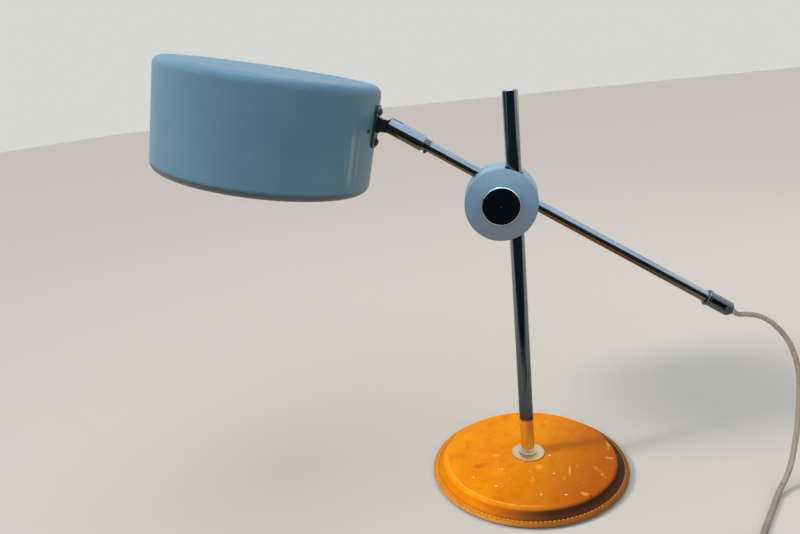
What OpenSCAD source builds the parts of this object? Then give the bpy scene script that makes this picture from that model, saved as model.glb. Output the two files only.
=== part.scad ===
// Desk lamp on a round leather covered foot: an upright, a rod clamp with a
// hand wheel, a tilting arm and a drum shade on a knuckle.
// Millimetres. The origin is on the table under the middle of the foot,
// +Z is up, the arm lies along X with the shade on the -X side.

/* [Foot] */
// Width of the round foot
base_d = 200; // [170:1:240]
// How far the cove reaches in from the rim to the crease
cove_run = 11.2; // [10:0.1:16]
// Height of the crease where the cove meets the dome
crease_h = 14.4; // [13:0.1:17]
// Height of the dome at its middle
crown_h = 16.4; // [15:0.1:22]
// Height of the brim
brim_h = 6.0; // [5.6:0.1:7.5]
// Radius of the rolled rim
roll_r = 2.2; // [2.1:0.1:2.6]
// Radius of the crease
crease_r = 3.2; // [2.6:0.1:4]
// Radius of the hollow of the cove
cove_r = 3.6; // [2.5:0.1:4.2]
// Thickness of the leather
leather_t = 1.2; // [0.8:0.1:1.4]
// Thickness of the pressed steel under the leather
steel_t = 0.9; // [0.6:0.1:0.9]
// How far the leather is turned in under the rim
turn_in = 9; // [5:0.5:14]
// Thickness of the felt pad
pad_t = 1.6; // [1:0.1:2]
// How far the pad stays in from the rim
pad_inset = 4; // [3:0.5:8]
// Height of the cast weight above the table
weight_h = 11.6; // [9:0.1:11.8]
// How far the weight stays in from the rim
weight_inset = 17; // [16:0.5:30]

/* [Upright] */
// Diameter of the upright
pole_d = 14; // [12:0.1:16]
// Wall of the upright
pole_wall = 1; // [0.8:0.1:1.6]
// Height of the top of the upright above the table
pole_top = 384; // [350:1:460]
// Chamfer round the top of the upright
pole_chamfer = 0.8; // [0.3:0.1:1.2]
// Width of the flange at the foot of the upright
flange_d = 33.6; // [26:0.2:40]
// Thickness of the flange
flange_t = 1.6; // [1:0.1:3]
// Width of the collar on the flange
flange_collar_d = 19; // [18:0.2:24]
// Height of the collar on the flange
flange_collar_h = 2.4; // [1:0.1:5]
// Diameter of the threaded stud under the upright
foot_stud_d = 10; // [8:0.1:11]
// Width across the corners of the nut under the foot
foot_nut_d = 19.6; // [17:0.1:21]
// Diameter of the recess for that nut
nut_recess_d = 25; // [24:0.1:30]
// Depth of the steps in the recess, from the pad
nut_recess_h = 6.4; // [6:0.1:7.5]

/* [Clamp] */
// Height of the clamp stud above the table
clamp_z = 282.5; // [240:0.5:330]
// How far the clamp stud stands to the side of the upright
pole_offset = 13; // [12.8:0.1:15]
// How far the arm lies above the clamp stud, square to the arm
arm_offset = 11.7; // [11.2:0.1:14]
// How far the arm lies behind the upright
arm_y = 16.3; // [16.2:0.1:19]
// Diameter of the clamp stud
stud_d = 8; // [6:0.1:8.2]
// Diameter of the front of the clamp drum
drum_d = 68; // [62:0.2:76]
// How much the drum widens from front to back
drum_flare = 2.6; // [0:0.1:4]
// Rounding of the back edge of the drum
drum_round = 2; // [0.5:0.1:3]
// Gap between the pieces of the drum
seam = 0.2; // [0.15:0.01:0.3]
// Wall left behind each rod in the drum
rod_web = 1.1; // [0.9:0.1:1.4]
// Diameter of the hand wheel
wheel_d = 67.2; // [60:0.2:76]
// Thickness of the hand wheel at its rim
wheel_rim_t = 4.2; // [3:0.1:7]
// How much thicker the hand wheel is at its middle
wheel_cone = 2; // [1:0.1:4]
// Diameter of the bright cap in the hand wheel
cap_d = 36; // [26:0.2:40]
// Thickness of the bright cap
cap_t = 3.6; // [2.5:0.1:6]
// Wall of the plastic liners round the rods
liner_t = 0.9; // [0.7:0.05:1]
// Length of the liners
liner_l = 52; // [40:0.5:53]
// Running clearance round a rod, a liner or the stud
fit = 0.05; // [0.03:0.01:0.08]
// Slit along each liner
liner_slit = 1.6; // [1:0.1:3]

/* [Arm] */
// Diameter of the arm tube
arm_d = 10.4; // [9:0.1:11.4]
// Wall of the arm tube
arm_wall = 1; // [0.8:0.1:1.2]
// How far the arm slopes down towards its tail
arm_tilt = 32.9; // [28:0.1:38]
// Distance from the clamp stud to the knuckle pin
knuckle_reach = 123.6; // [110:0.2:160]
// Distance from the clamp stud to the end of the tail ferrule
tail_reach = 241.4; // [200:0.2:270]
// Length of the tail ferrule
ferrule_l = 26.4; // [22:0.2:34]
// Diameter of the tail ferrule
ferrule_d = 14; // [12.8:0.1:16]
// Diameter of the ring at the start of the ferrule
ferrule_ring_d = 15.6; // [14.4:0.1:18]
// Width of that ring
ferrule_ring_l = 3; // [2:0.1:5]
// Rounding of the end of the ferrule
ferrule_round = 2.6; // [1:0.1:2.8]
// Diameter of the head of the cord grip screw
grip_head_d = 7.2; // [5.5:0.1:8]
// How far the grip screw stands in from the end of the ferrule
grip_inset = 4.7; // [4.4:0.1:8]

/* [Knuckle] */
// Diameter of the knuckle sleeve
sleeve_d = 15.4; // [14:0.1:18]
// Length of the knuckle sleeve
sleeve_l = 39.4; // [36:0.2:50]
// How far the sleeve reaches past the knuckle pin
sleeve_nose = 6.5; // [5.5:0.1:8]
// Chamfer of the sleeve at its nose
sleeve_chamfer = 1.8; // [0.5:0.1:2.4]
// Diameter of the collar behind the sleeve
collar_d = 12; // [11.8:0.1:13.6]
// Length of the collar behind the sleeve
collar_l = 6.1; // [5:0.1:9]
// Diameter of the spigot that the sleeve turns on
spigot_d = 8; // [6.5:0.1:9]
// Length of that spigot
spigot_l = 17; // [12:0.2:18]
// Diameter of the knuckle pin
pin_d = 4; // [3:0.1:5]
// Thickness of the knuckle blade
blade_t = 5; // [3.5:0.1:6]
// Height of the knuckle blade
blade_h = 12; // [9:0.1:13]
// Gap on each side of the blade in its slot
blade_gap = 0.08; // [0.05:0.01:0.1]
// Diameter of the way for the wire
wire_way_d = 3.6; // [3:0.1:4]

/* [Shade] */
// Diameter of the drum shade
shade_d = 214; // [180:1:260]
// Height of the drum shade
shade_h = 103.6; // [96:0.2:140]
// Wall of the shade
shade_wall = 0.8; // [0.6:0.1:1.5]
// How far the shade leans towards the lamp
shade_tilt = 14.4; // [8:0.1:22]
// Rounding of the top edge
shade_top_r = 8.7; // [5:0.1:14]
// Rounding of the edge that curls in at the bottom
shade_curl_r = 7.5; // [4:0.1:10]
// Distance from the knuckle pin to the wall of the shade
pivot_out = 17.6; // [16:0.1:24]
// Depth of the knuckle pin below the top of the shade
pivot_drop = 34.4; // [30:0.1:45]
// Depth of the upper bolt below the top of the shade
upper_bolt = 21.9; // [18:0.1:23]
// Depth of the lower bolt below the top of the shade
lower_bolt = 51; // [50:0.1:56]
// Diameter of the domed bolt heads
bolt_head_d = 8.8; // [7:0.1:9.4]
// Height of the domed bolt heads
bolt_head_h = 3; // [2:0.1:3.6]
// Diameter of the bolts
bolt_d = 4; // [3:0.1:4.6]
// Width of the hinge plate
plate_w = 20; // [14:0.2:28]
// Thickness of the hinge plate
plate_t = 2.2; // [1.5:0.1:3]
// How far the hinge plate reaches past the bolts
plate_over = 5.6; // [4.8:0.1:8]

/* [Lampholder and bulb] */
// Depth of the bulb below the top of the shade
bulb_drop = 44; // [43.4:0.1:44.4]
// Diameter of the bulb
bulb_d = 60; // [45:1:66]
// Length of the bulb
bulb_l = 105; // [95:1:112]
// Diameter of the screw cap of the bulb
bulb_cap_d = 26.4; // [26:0.1:26.8]
// Diameter of the lampholder
holder_d = 40; // [37:0.2:46]
// Length of the lampholder
holder_l = 44; // [40:0.2:52]
// Thickness of the bracket
bracket_t = 1.6; // [1.2:0.1:2]
// How far the face of the bracket stands in from the wall
bracket_out = 15; // [13.5:0.1:20]
// Wall of the bulb's glass
glass_t = 0.8; // [0.5:0.1:1.2]

/* [Cord] */
// Diameter of the cord
cord_d = 4.8; // [4.2:0.1:5]
// Outer radius of the coil at the middle of the cord
coil_r = 32.5; // [31:0.1:36]
// Distance from one turn to the next in a layer
turn_pitch = 5.3; // [5.25:0.01:5.6]
// Distance from one layer to the next
layer_pitch = 5.25; // [5.23:0.01:5.6]
// Thickness of the tie round the coil
tie_t = 0.6; // [0.4:0.1:0.8]
// Width of the tie round the coil
tie_w = 9; // [5:0.5:14]
// Length of the cord switch
switch_l = 62; // [54:1:80]
// Width of the cord switch
switch_w = 24; // [21:0.5:30]
// Height of the cord switch
switch_h = 16; // [15:0.2:20]
// Angle of the rocker from level
rocker_rest = 8; // [4:0.5:9]
// Length of the plug body
plug_l = 36; // [30:0.5:44]
// Width of the plug body
plug_w = 34; // [30:0.5:38]
// Thickness of the plug body
plug_h = 13.6; // [12:0.2:16]
// Diameter of the plug pins
prong_d = 4; // [3.8:0.1:4.2]
// Length of the plug pins
prong_l = 19; // [17:0.5:20]
// Spacing of the plug pins
prong_gap = 18.6; // [18:0.1:19.2]

/* [Hidden] */

$fn = 64;
big_fn = 128;
eps = 0.01;

// Foot
base_r = base_d / 2;
rim_c = base_r - roll_r;
crease_c = base_r - cove_run - crease_r;
flat_r = flange_d / 2 + 1.5;
pole_r = pole_d / 2;
shell_top = crown_h - leather_t;
flange_top = crown_h + flange_t + flange_collar_h;
nut_clear = 0.3;
foot_nut_h = nut_recess_h - 1.5 - nut_clear;
foot_washer_t = 1.5;
pole_clear = 0.3;
journal_h = 18;

// Clamp
clamp_x = -pole_offset;
arm_r = arm_d / 2;
stud_r = stud_d / 2;
pole_bore = pole_r + liner_t + 2 * fit;
arm_bore = arm_r + liner_t + 2 * fit;
drum_front = -pole_bore + 2 * fit;
drum_seam = pole_bore + rod_web;
block_front = drum_seam + seam;
block_back = arm_y + arm_bore + rod_web;
wheel_back = drum_front - seam - fit - 0.05;
wheel_rim = wheel_back - wheel_rim_t;
wheel_front = wheel_rim - wheel_cone;
cap_front = wheel_front - cap_t;
drum_r = drum_d / 2;
wheel_r = wheel_d / 2;
insert_r = stud_r + 3;
stud_front = wheel_front - 0.6;
washer_t = 1.5;
nut_back = block_back + seam + washer_t;
stud_nut_h = 6.5;

// Arm: s runs along the arm from the stud, towards the tail
sleeve_start = -knuckle_reach - sleeve_nose;
sleeve_end = sleeve_start + sleeve_l;
collar_start = sleeve_end + seam;
collar_end = collar_start + collar_l;
tube_start = collar_start + 2.4;
ferrule_start = tail_reach - ferrule_l;
tube_end = ferrule_start + 9;
bush_start = tube_end + 1;
bush_end = tail_reach + 3.6;
bush_r = 4.2;
grip_s = tail_reach - grip_inset;
arm_bore_r = arm_r - arm_wall;
cord_r = cord_d / 2;
inner_lead_end = collar_start + 1;

// Shade
shade_r = shade_d / 2;
plate_r = shade_r + plate_t;
inner_r = shade_r - shade_wall;
strap_r = inner_r - bracket_t;
face_x = shade_r - bracket_out;
nut_w = 7;
holder_r = holder_d / 2;
holder_front = face_x - bracket_t - holder_l;
cap_r = bulb_cap_d / 2;
cap_back = holder_front + 29;
bulb_r = bulb_d / 2;

// World place of the knuckle pin and of a point along the arm
function on_arm(s, lift = 0) = [
    clamp_x + s * cos(arm_tilt) + (arm_offset + lift) * sin(arm_tilt),
    arm_y,
    clamp_z - s * sin(arm_tilt) + (arm_offset + lift) * cos(arm_tilt)];
pivot = on_arm(-knuckle_reach);

// Cord: where it lies, point by point. It hangs from the tail, lands on the
// table beside the foot and runs off to the front.
cord_exit = on_arm(bush_end);
arm_way = [cos(arm_tilt), 0, -sin(arm_tilt)];
stretch_points = [
    [208.5, 16.3, 156.4], [214, 16.3, 155.8], [219.5, 16, 154.8], [225.5, 15.5, 152.4],
    [231.5, 15, 148.4], [237.5, 14, 142.5], [243.5, 12.5, 135], [248, 11, 127],
    [251, 9, 119], [253.5, 7, 110], [255, 5, 100], [255.5, 3, 90],
    [255, 0, 79], [254, -3, 68], [252.5, -7, 57], [250, -12, 46],
    [246, -19, 34], [241, -27, 22.5], [235, -34, 13], [228, -41.5, 6.5],
    [221, -51, 3], [214.5, -62, 2.4], [207.5, -74, 2.4], [199.5, -87.5, 2.4],
    [192.5, -100, 2.6], [187, -111, 4.2]];
cord_heading = -115;
cord_way = [cos(cord_heading), sin(cord_heading), 0];
coil_at = [106, -208, 0];
coil_z = cord_r + tie_t + 0.1;
lead_l = 50;
layers = 4;
turns = 7.25;
loop_rings = 24;
layer_turns = turns / layers;
coil_touch = coil_at + coil_r * [cos(cord_heading + 90), sin(cord_heading + 90), 0];
switch_at = coil_touch - (lead_l + switch_l / 2) * cord_way;
switch_cord_z = 6.5;
end_heading = cord_heading - 360 * turns;
end_way = [cos(end_heading), sin(end_heading), 0];
coil_leave = coil_at + coil_r * [cos(end_heading + 90), sin(end_heading + 90), 0]
    + [0, 0, coil_z + (layers - 1) * layer_pitch];
end_l = 62;
plug_at = coil_at + coil_r * [cos(end_heading + 90), sin(end_heading + 90), 0] + end_l * end_way;

// Colours
leather_c = "#d9781f";
chrome_c = "#c8ccd0";
steel_c = "#8f9498";
brass_c = "#b08d57";
blue_c = "#567e92";
iron_c = "#4a4d50";
black_c = "#26282b";
cord_c = "#b9c0c0";
white_c = "#e6e4de";
glass_c = "#eef1f2";
felt_c = "#2c2a28";

// Points of a round stretch about (cx, cy) from angle a to angle b
function arc(cx, cy, r, a, b, n = 8) =
    [for (i = [0 : n]) [cx + r * cos(a + (b - a) * i / n), cy + r * sin(a + (b - a) * i / n)]];

function reversed(list) = [for (i = [len(list) - 1 : -1 : 0]) list[i]];

// Height of the dome at a radius
function dome_z(r) = r < flat_r ? crown_h
    : crown_h - (crown_h - crease_h) * pow((r - flat_r) / (crease_c - flat_r), 2);

// The foot's section, moved inwards by d, from a hole of radius hole to the rim
function foot_line(d, hole) = concat(
    [[hole, crown_h - d]],
    [for (i = [0 : 8]) let (r = flat_r + (crease_c - flat_r) * i / 8) [r, dome_z(r) - d]],
    arc(crease_c, crease_h - crease_r, crease_r - d, 88, 12),
    arc(crease_c + crease_r + cove_r + 1.1, brim_h + cove_r, cove_r + d, 192, 270, 6),
    arc(rim_c, brim_h - roll_r, roll_r - d, 90, -90, 10));

module ring(r_out, r_in, h) {
    difference() {
        cylinder(r = r_out, h = h);
        translate([0, 0, -1]) cylinder(r = r_in, h = h + 2);
    }
}

// Local z runs along world +Y, from the axis of the clamp stud
module about_stud() {
    translate([clamp_x, 0, clamp_z]) rotate([-90, 0, 0]) children();
}

// Local x runs along the arm from the stud, local z is square to it
module on_arm_axis() {
    translate([clamp_x, arm_y, clamp_z]) rotate([0, arm_tilt, 0]) translate([0, 0, arm_offset]) children();
}

// Local z runs along the arm
module along_arm(s) {
    on_arm_axis() translate([s, 0, 0]) rotate([0, 90, 0]) children();
}

// The shade's own frame: local z is its axis, 0 at its top, x towards the arm
module in_shade() {
    translate(pivot) rotate([0, shade_tilt, 0]) translate([-shade_r - pivot_out, 0, pivot_drop]) children();
}

// Local z runs outwards through the shade's wall, at a depth below its top
module through_wall(x, depth) {
    in_shade() translate([x, 0, -depth]) rotate([0, 90, 0]) children();
}

// Foot

module base_pad() {
    color(felt_c) cylinder(r = base_r - pad_inset, h = pad_t, $fn = big_fn);
}

module base_weight() {
    color(iron_c) difference() {
        union() {
            translate([0, 0, pad_t]) cylinder(r = base_r - weight_inset, h = weight_h - pad_t, $fn = big_fn);
            cylinder_between(flat_r, pad_t, shell_top - steel_t);
        }
        cylinder_between(foot_stud_d / 2, 0, crown_h);
        cylinder_between(nut_recess_d / 2, pad_t - 1, pad_t + nut_recess_h);
    }
}

module cylinder_between(r, z0, z1) {
    translate([0, 0, z0]) cylinder(r = r, h = z1 - z0);
}

module base_shell() {
    hole = foot_stud_d / 2;
    color(steel_c) rotate_extrude($fn = big_fn)
        polygon(concat(foot_line(leather_t, hole), reversed(foot_line(leather_t + steel_t, hole))));
}

module leather_cover() {
    hole = pole_r + pole_clear;
    under = brim_h - 2 * roll_r;
    color(leather_c) {
        rotate_extrude($fn = big_fn) polygon(concat(
            foot_line(0, hole),
            [[rim_c - turn_in, under], [rim_c - turn_in, under + leather_t]],
            reversed(foot_line(leather_t, hole))));
    }
}

module pole_flange() {
    color(chrome_c) translate([0, 0, crown_h]) difference() {
        rotate_extrude($fn = big_fn) polygon(concat(
            [[0, 0], [flange_d / 2 - 0.3, 0], [flange_d / 2, 0.3]],
            arc(flange_d / 2 - 0.8, flange_t - 0.8, 0.8, 0, 90, 4),
            [[flange_collar_d / 2, flange_t]],
            arc(flange_collar_d / 2 - 0.7, flange_t + flange_collar_h - 0.7, 0.7, 0, 90, 4),
            [[0, flange_t + flange_collar_h]]));
        translate([0, 0, -1]) cylinder(r = pole_r + fit, h = flange_t + flange_collar_h + 2);
    }
}

// The upright turns on the journal of the foot's stud, inside the flange
module pole_tube() {
    color(chrome_c) translate([0, 0, shell_top])
        ring(pole_r, pole_r - pole_wall, pole_top - 1.5 - shell_top);
}

module pole_top_plug() {
    color(chrome_c) union() {
        cylinder_between(pole_r - pole_wall, pole_top - 9, pole_top - 1.5);
        translate([0, 0, pole_top - 1.5]) rotate_extrude() polygon([
            [0, 0], [pole_r, 0], [pole_r, 1.5 - pole_chamfer], [pole_r - pole_chamfer, 1.5], [0, 1.5]]);
    }
}

module foot_stud() {
    color(steel_c) union() {
        cylinder_between(foot_stud_d / 2, pad_t + nut_clear, shell_top);
        cylinder_between(pole_r - pole_wall - fit, shell_top, shell_top + journal_h);
    }
}

module foot_washer() {
    color(steel_c) translate([0, 0, pad_t + nut_recess_h - foot_washer_t])
        ring(nut_recess_d / 2 - 1, foot_stud_d / 2, foot_washer_t);
}

module foot_nut() {
    color(steel_c) translate([0, 0, pad_t + nut_clear]) difference() {
        cylinder(d = foot_nut_d, h = foot_nut_h, $fn = 6);
        translate([0, 0, -1]) cylinder(d = foot_stud_d, h = foot_nut_h + 2);
    }
}

// Clamp

module liner(r_in) {
    translate([0, 0, -liner_l / 2]) difference() {
        ring(r_in + liner_t, r_in, liner_l);
        translate([r_in - 1, -liner_slit / 2, -1]) cube([liner_t + 2, liner_slit, liner_l + 2]);
    }
}

module pole_liner() {
    color(white_c) translate([0, 0, clamp_z]) liner(pole_r + fit);
}

module clamp_body() {
    color(blue_c) difference() {
        about_stud() rotate_extrude($fn = big_fn) polygon([
            [0, drum_front], [drum_r - 0.4, drum_front], [drum_r, drum_front + 0.4],
            [drum_radius(drum_seam), drum_seam], [0, drum_seam]]);
        about_stud() translate([0, 0, drum_front - 1]) cylinder(r = stud_r, h = drum_seam - drum_front + 2);
        translate([0, 0, clamp_z - drum_d]) cylinder(r = pole_bore, h = 2 * drum_d);
        translate([-pole_bore, -pole_d, clamp_z - drum_d]) cube([2 * pole_bore, pole_d, 2 * drum_d]);
    }
}

// Radius of the flared drum at a place along its axis
function drum_radius(y) = drum_r + drum_flare / 2 * (y - drum_front) / (block_back - drum_front);

module clamp_stud() {
    color(steel_c) about_stud() translate([0, 0, stud_front])
        cylinder(r = stud_r, h = nut_back + stud_nut_h - 1 - stud_front);
}

module stud_washer() {
    color(steel_c) about_stud() translate([0, 0, block_back + seam]) ring(9, stud_r, washer_t);
}

module stud_nut() {
    nut_d = stud_d + 7;
    color(chrome_c) about_stud() translate([0, 0, nut_back]) difference() {
        union() {
            cylinder(d = nut_d, h = stud_nut_h, $fn = 6);
            translate([0, 0, stud_nut_h - eps]) rotate_extrude()
                polygon(concat([[0, 0]], arc(0, 0, nut_d / 2 - 1.2, 0, 90)));
        }
        translate([0, 0, -1]) cylinder(r = stud_r, h = stud_nut_h);
    }
}

module hand_wheel() {
    color(blue_c) about_stud() difference() {
        rotate_extrude($fn = big_fn) polygon([
            [0, wheel_back], [wheel_r - 0.6, wheel_back], [wheel_r, wheel_back - 0.6],
            [wheel_r, wheel_rim + 0.8], [wheel_r - 0.2, wheel_rim + 0.3], [wheel_r - 0.8, wheel_rim],
            [cap_d / 2 + 0.4, wheel_front], [0, wheel_front]]);
        translate([0, 0, wheel_front - 1]) cylinder(r = insert_r, h = wheel_back - wheel_front + 2);
    }
}

module wheel_insert() {
    color(brass_c) about_stud() translate([0, 0, wheel_front])
        ring(insert_r, stud_r + fit, wheel_back - wheel_front);
}

module wheel_cap() {
    edge = 1.4;
    color(chrome_c) about_stud() difference() {
        rotate_extrude($fn = big_fn) polygon(concat(
            [[0, wheel_front], [cap_d / 2, wheel_front]],
            arc(cap_d / 2 - edge, cap_front + 0.4 + edge, edge, 0, -80, 6),
            [[cap_d / 4, cap_front + 0.1], [0, cap_front]]));
        translate([0, 0, wheel_front - 1.4]) cylinder(r = insert_r + 0.6, h = 2);
    }
}

module arm_block() {
    color(blue_c) difference() {
        about_stud() rotate_extrude($fn = big_fn) polygon(concat(
            [[0, block_front], [drum_radius(block_front), block_front]],
            arc(drum_radius(block_back) - drum_round, block_back - drum_round, drum_round, 0, 90, 6),
            [[0, block_back]]));
        about_stud() translate([0, 0, block_front - 1])
            cylinder(r = stud_r + fit, h = block_back - block_front + 2);
        along_arm(-drum_d) cylinder(r = arm_bore, h = 2 * drum_d);
    }
}

module arm_liner() {
    color(white_c) along_arm(0) liner(arm_r + fit);
}

// Arm

module arm_tube() {
    color(chrome_c) along_arm(tube_start) ring(arm_r, arm_bore_r, tube_end - tube_start);
}

module arm_collar() {
    color(chrome_c) difference() {
        union() {
            along_arm(collar_start) cylinder(d = collar_d, h = collar_l);
            along_arm(collar_start - spigot_l) cylinder(d = spigot_d, h = spigot_l + 1);
        }
        along_arm(tube_start) cylinder(r = arm_r, h = collar_l);
        along_arm(collar_start - spigot_l - 1) cylinder(d = wire_way_d, h = spigot_l + collar_l);
        collar_screw_axis() translate([0, 0, -arm_wall]) cylinder(r = 1.5, h = collar_d);
    }
}

module collar_screw_axis() {
    on_arm_axis() translate([collar_end - 2.1, 0, 0]) rotate([150, 0, 0]) translate([0, 0, arm_r]) children();
}

module collar_screw() {
    reach = collar_d / 2 - arm_r + 1.6;
    color(black_c) collar_screw_axis() difference() {
        cylinder(r = 1.5, h = reach);
        translate([-2, -0.25, reach - 0.7]) cube([4, 0.5, 1]);
    }
}

module tail_ferrule() {
    end_r = ferrule_d / 2;
    color(chrome_c) difference() {
        along_arm(ferrule_start) rotate_extrude() polygon(concat(
            [[0, 0], [ferrule_ring_d / 2 - 0.8, 0], [ferrule_ring_d / 2, 0.8],
            [ferrule_ring_d / 2, ferrule_ring_l - 0.6], [end_r, ferrule_ring_l + 0.4]],
            arc(end_r - ferrule_round, ferrule_l - ferrule_round, ferrule_round, 0, 90, 6),
            [[0, ferrule_l]]));
        along_arm(ferrule_start - 1) cylinder(r = arm_r, h = tube_end - ferrule_start + 1);
        along_arm(ferrule_start) cylinder(r = bush_r, h = ferrule_l + 1);
        on_arm_axis() translate([grip_s, 0, 0]) rotate([90, 0, 0]) cylinder(r = 1.6, h = ferrule_d);
        grip_seat() cylinder(d = grip_head_d + 0.4, h = ferrule_d);
    }
}

module grip_seat() {
    on_arm_axis() translate([grip_s, -ferrule_d / 2 + 1, 0]) rotate([90, 0, 0]) children();
}

module grip_screw() {
    head_h = 2;
    color(steel_c) difference() {
        union() {
            grip_seat() cylinder(d = grip_head_d, h = head_h);
            on_arm_axis() translate([grip_s, -bush_r, 0]) rotate([90, 0, 0])
                cylinder(r = 1.6, h = ferrule_d / 2 - bush_r - 1 + eps);
        }
        grip_seat() rotate([0, 0, -70]) translate([-grip_head_d, -0.5, head_h - 0.8])
            cube([2 * grip_head_d, 1, 2]);
    }
}

module cord_bush() {
    color(black_c) along_arm(bush_start) difference() {
        union() {
            cylinder(r = bush_r, h = tail_reach - bush_start);
            translate([0, 0, tail_reach - bush_start - eps])
                cylinder(r1 = bush_r, r2 = cord_r + 0.6, h = bush_end - tail_reach);
        }
        translate([0, 0, -1]) cylinder(r = cord_r, h = bush_end - bush_start + 2);
    }
}

module inner_lead() {
    color(cord_c) union() {
        along_arm(tube_start + 3) cylinder(r = cord_r, h = bush_end - tube_start - 3);
        along_arm(inner_lead_end) cylinder(d = wire_way_d - 0.6, h = tube_start + 4 - inner_lead_end);
    }
}

// Knuckle

module knuckle_sleeve() {
    slot_end = -knuckle_reach + blade_h / 2 + 0.8;
    color(chrome_c) difference() {
        along_arm(sleeve_start) rotate_extrude() polygon([
            [0, 0], [sleeve_d / 2 - sleeve_chamfer, 0], [sleeve_d / 2, sleeve_chamfer],
            [sleeve_d / 2, sleeve_l - 0.6], [sleeve_d / 2 - 0.6, sleeve_l], [0, sleeve_l]]);
        along_arm(sleeve_end - spigot_l - 0.5) cylinder(r = spigot_d / 2 + fit, h = spigot_l + 1);
        along_arm(sleeve_start - 1) cylinder(d = wire_way_d, h = sleeve_l);
        on_arm_axis() translate([sleeve_start - 1, -blade_t / 2 - blade_gap, -sleeve_d])
            cube([slot_end - sleeve_start + 1, blade_t + 2 * blade_gap, 2 * sleeve_d]);
        on_arm_axis() translate([-knuckle_reach, -sleeve_d, 0]) rotate([-90, 0, 0])
            cylinder(d = pin_d, h = 2 * sleeve_d);
    }
}

module knuckle_pin() {
    pin_l = sleeve_d - 0.8;
    color(steel_c) on_arm_axis() translate([-knuckle_reach, -pin_l / 2, 0]) rotate([-90, 0, 0])
        cylinder(d = pin_d, h = pin_l);
}

// Shade

// Y and z in the shade's frame, about the knuckle pin, x out of the wall
module at_pivot() {
    in_shade() translate([shade_r + pivot_out, 0, -pivot_drop]) children();
}

module knuckle_blade() {
    root_t = 3;
    color(black_c) difference() {
        union() {
            at_pivot() rotate([-90, 0, 0]) translate([0, 0, -blade_t / 2]) cylinder(d = blade_h, h = blade_t);
            at_pivot() translate([plate_t - pivot_out, -blade_t / 2, -blade_h / 2])
                cube([pivot_out - plate_t, blade_t, blade_h]);
            at_pivot() translate([plate_t - pivot_out, -blade_t, -blade_h / 2 - 1])
                cube([root_t, 2 * blade_t, blade_h + 2]);
        }
        at_pivot() rotate([-90, 0, 0]) translate([0, 0, -blade_t]) cylinder(r = pin_d / 2 + fit, h = 2 * blade_t);
        in_shade() translate([0, 0, -shade_h]) cylinder(r = plate_r, h = shade_h, $fn = big_fn);
    }
}

module hinge_plate() {
    top = upper_bolt - plate_over;
    bottom = lower_bolt + plate_over;
    corner = 6;
    color(black_c) difference() {
        intersection() {
            in_shade() translate([0, 0, -shade_h]) ring(plate_r, shade_r, shade_h, $fn = big_fn);
            in_shade() union() {
                translate([0, -plate_w / 2, -bottom + corner])
                    cube([plate_r + 1, plate_w, bottom - top - 2 * corner]);
                translate([0, -plate_w / 2 + corner, -bottom]) cube([plate_r + 1, plate_w - 2 * corner, bottom - top]);
                for (y = [-1, 1], z = [top + corner, bottom - corner])
                    translate([0, y * (plate_w / 2 - corner), -z]) rotate([0, 90, 0])
                        cylinder(r = corner, h = plate_r + 1);
            }
        }
        for (depth = [upper_bolt, lower_bolt])
            through_wall(0, depth) cylinder(d = bolt_d, h = plate_r + 2);
    }
}

// A domed bolt through the plate, the wall and the bracket
module plate_bolts() {
    dome_r = (pow(bolt_head_d / 2, 2) + pow(bolt_head_h, 2)) / (2 * bolt_head_h);
    half = asin(bolt_head_d / 2 / dome_r);
    color(black_c) for (depth = [upper_bolt, lower_bolt]) {
        through_wall(plate_r, depth) rotate_extrude()
            polygon(concat([[0, 0]], arc(0, bolt_head_h - dome_r, dome_r, 90 - half, 90)));
        through_wall(strap_r - 4.4, depth) cylinder(d = bolt_d, h = plate_r - strap_r + 4.4 + eps);
    }
}

module plate_nuts() {
    color(steel_c) for (depth = [upper_bolt, lower_bolt])
        through_wall(strap_r - 3.4, depth) difference() {
            cylinder(d = nut_w / cos(30), h = 3.2, $fn = 6);
            translate([0, 0, -1]) cylinder(d = bolt_d, h = 6);
        }
}

// The shade's section moved inwards by d, from the middle of the top to the curl
function shade_line(d) = concat(
    [[0, -d]],
    arc(shade_r - shade_top_r, -shade_top_r, shade_top_r - d, 90, 0, 8),
    arc(shade_r - shade_curl_r, shade_curl_r - shade_h, shade_curl_r - d, 0, -105, 8));

module shade_shell() {
    peephole = 11;
    color(blue_c) difference() {
        in_shade() rotate_extrude($fn = big_fn) polygon(concat(shade_line(0), reversed(shade_line(shade_wall))));
        for (depth = [upper_bolt, lower_bolt])
            through_wall(shade_r - 8, depth) cylinder(d = bolt_d, h = 12);
        through_wall(shade_r - 8, bulb_drop) cylinder(d = wire_way_d + 1, h = 12);
        in_shade() rotate([0, 0, -peephole]) translate([shade_r - 8, 0, -39.3]) rotate([0, 90, 0])
            cylinder(r = 1.5, h = 12);
    }
}

// Lampholder and bulb

module holder_bracket() {
    top = upper_bolt - plate_over;
    foot = lower_bolt + 8;
    face_w = 28;
    color(steel_c) difference() {
        union() {
            intersection() {
                in_shade() translate([0, 0, -foot]) ring(inner_r, strap_r, foot - top, $fn = big_fn);
                in_shade() translate([0, -plate_w / 2, -foot]) cube([shade_r, plate_w, foot - top]);
            }
            in_shade() translate([face_x - bracket_t, -plate_w / 2, -foot])
                cube([strap_r - face_x + bracket_t, plate_w, bracket_t]);
            in_shade() translate([face_x - bracket_t, -face_w / 2, -foot])
                cube([bracket_t, face_w, foot - bulb_drop + face_w / 2]);
        }
        for (depth = [upper_bolt, lower_bolt])
            through_wall(strap_r - 6, depth) cylinder(d = bolt_d, h = 12);
        through_wall(face_x - 5, bulb_drop) cylinder(d = 10, h = 8);
        through_wall(strap_r - 6, bulb_drop) cylinder(d = wire_way_d + 1, h = 12);
    }
}

module holder_nipple() {
    color(brass_c) through_wall(face_x - bracket_t - 8, bulb_drop) ring(5, 3.4, bracket_t + 8 + 3.4);
}

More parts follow.
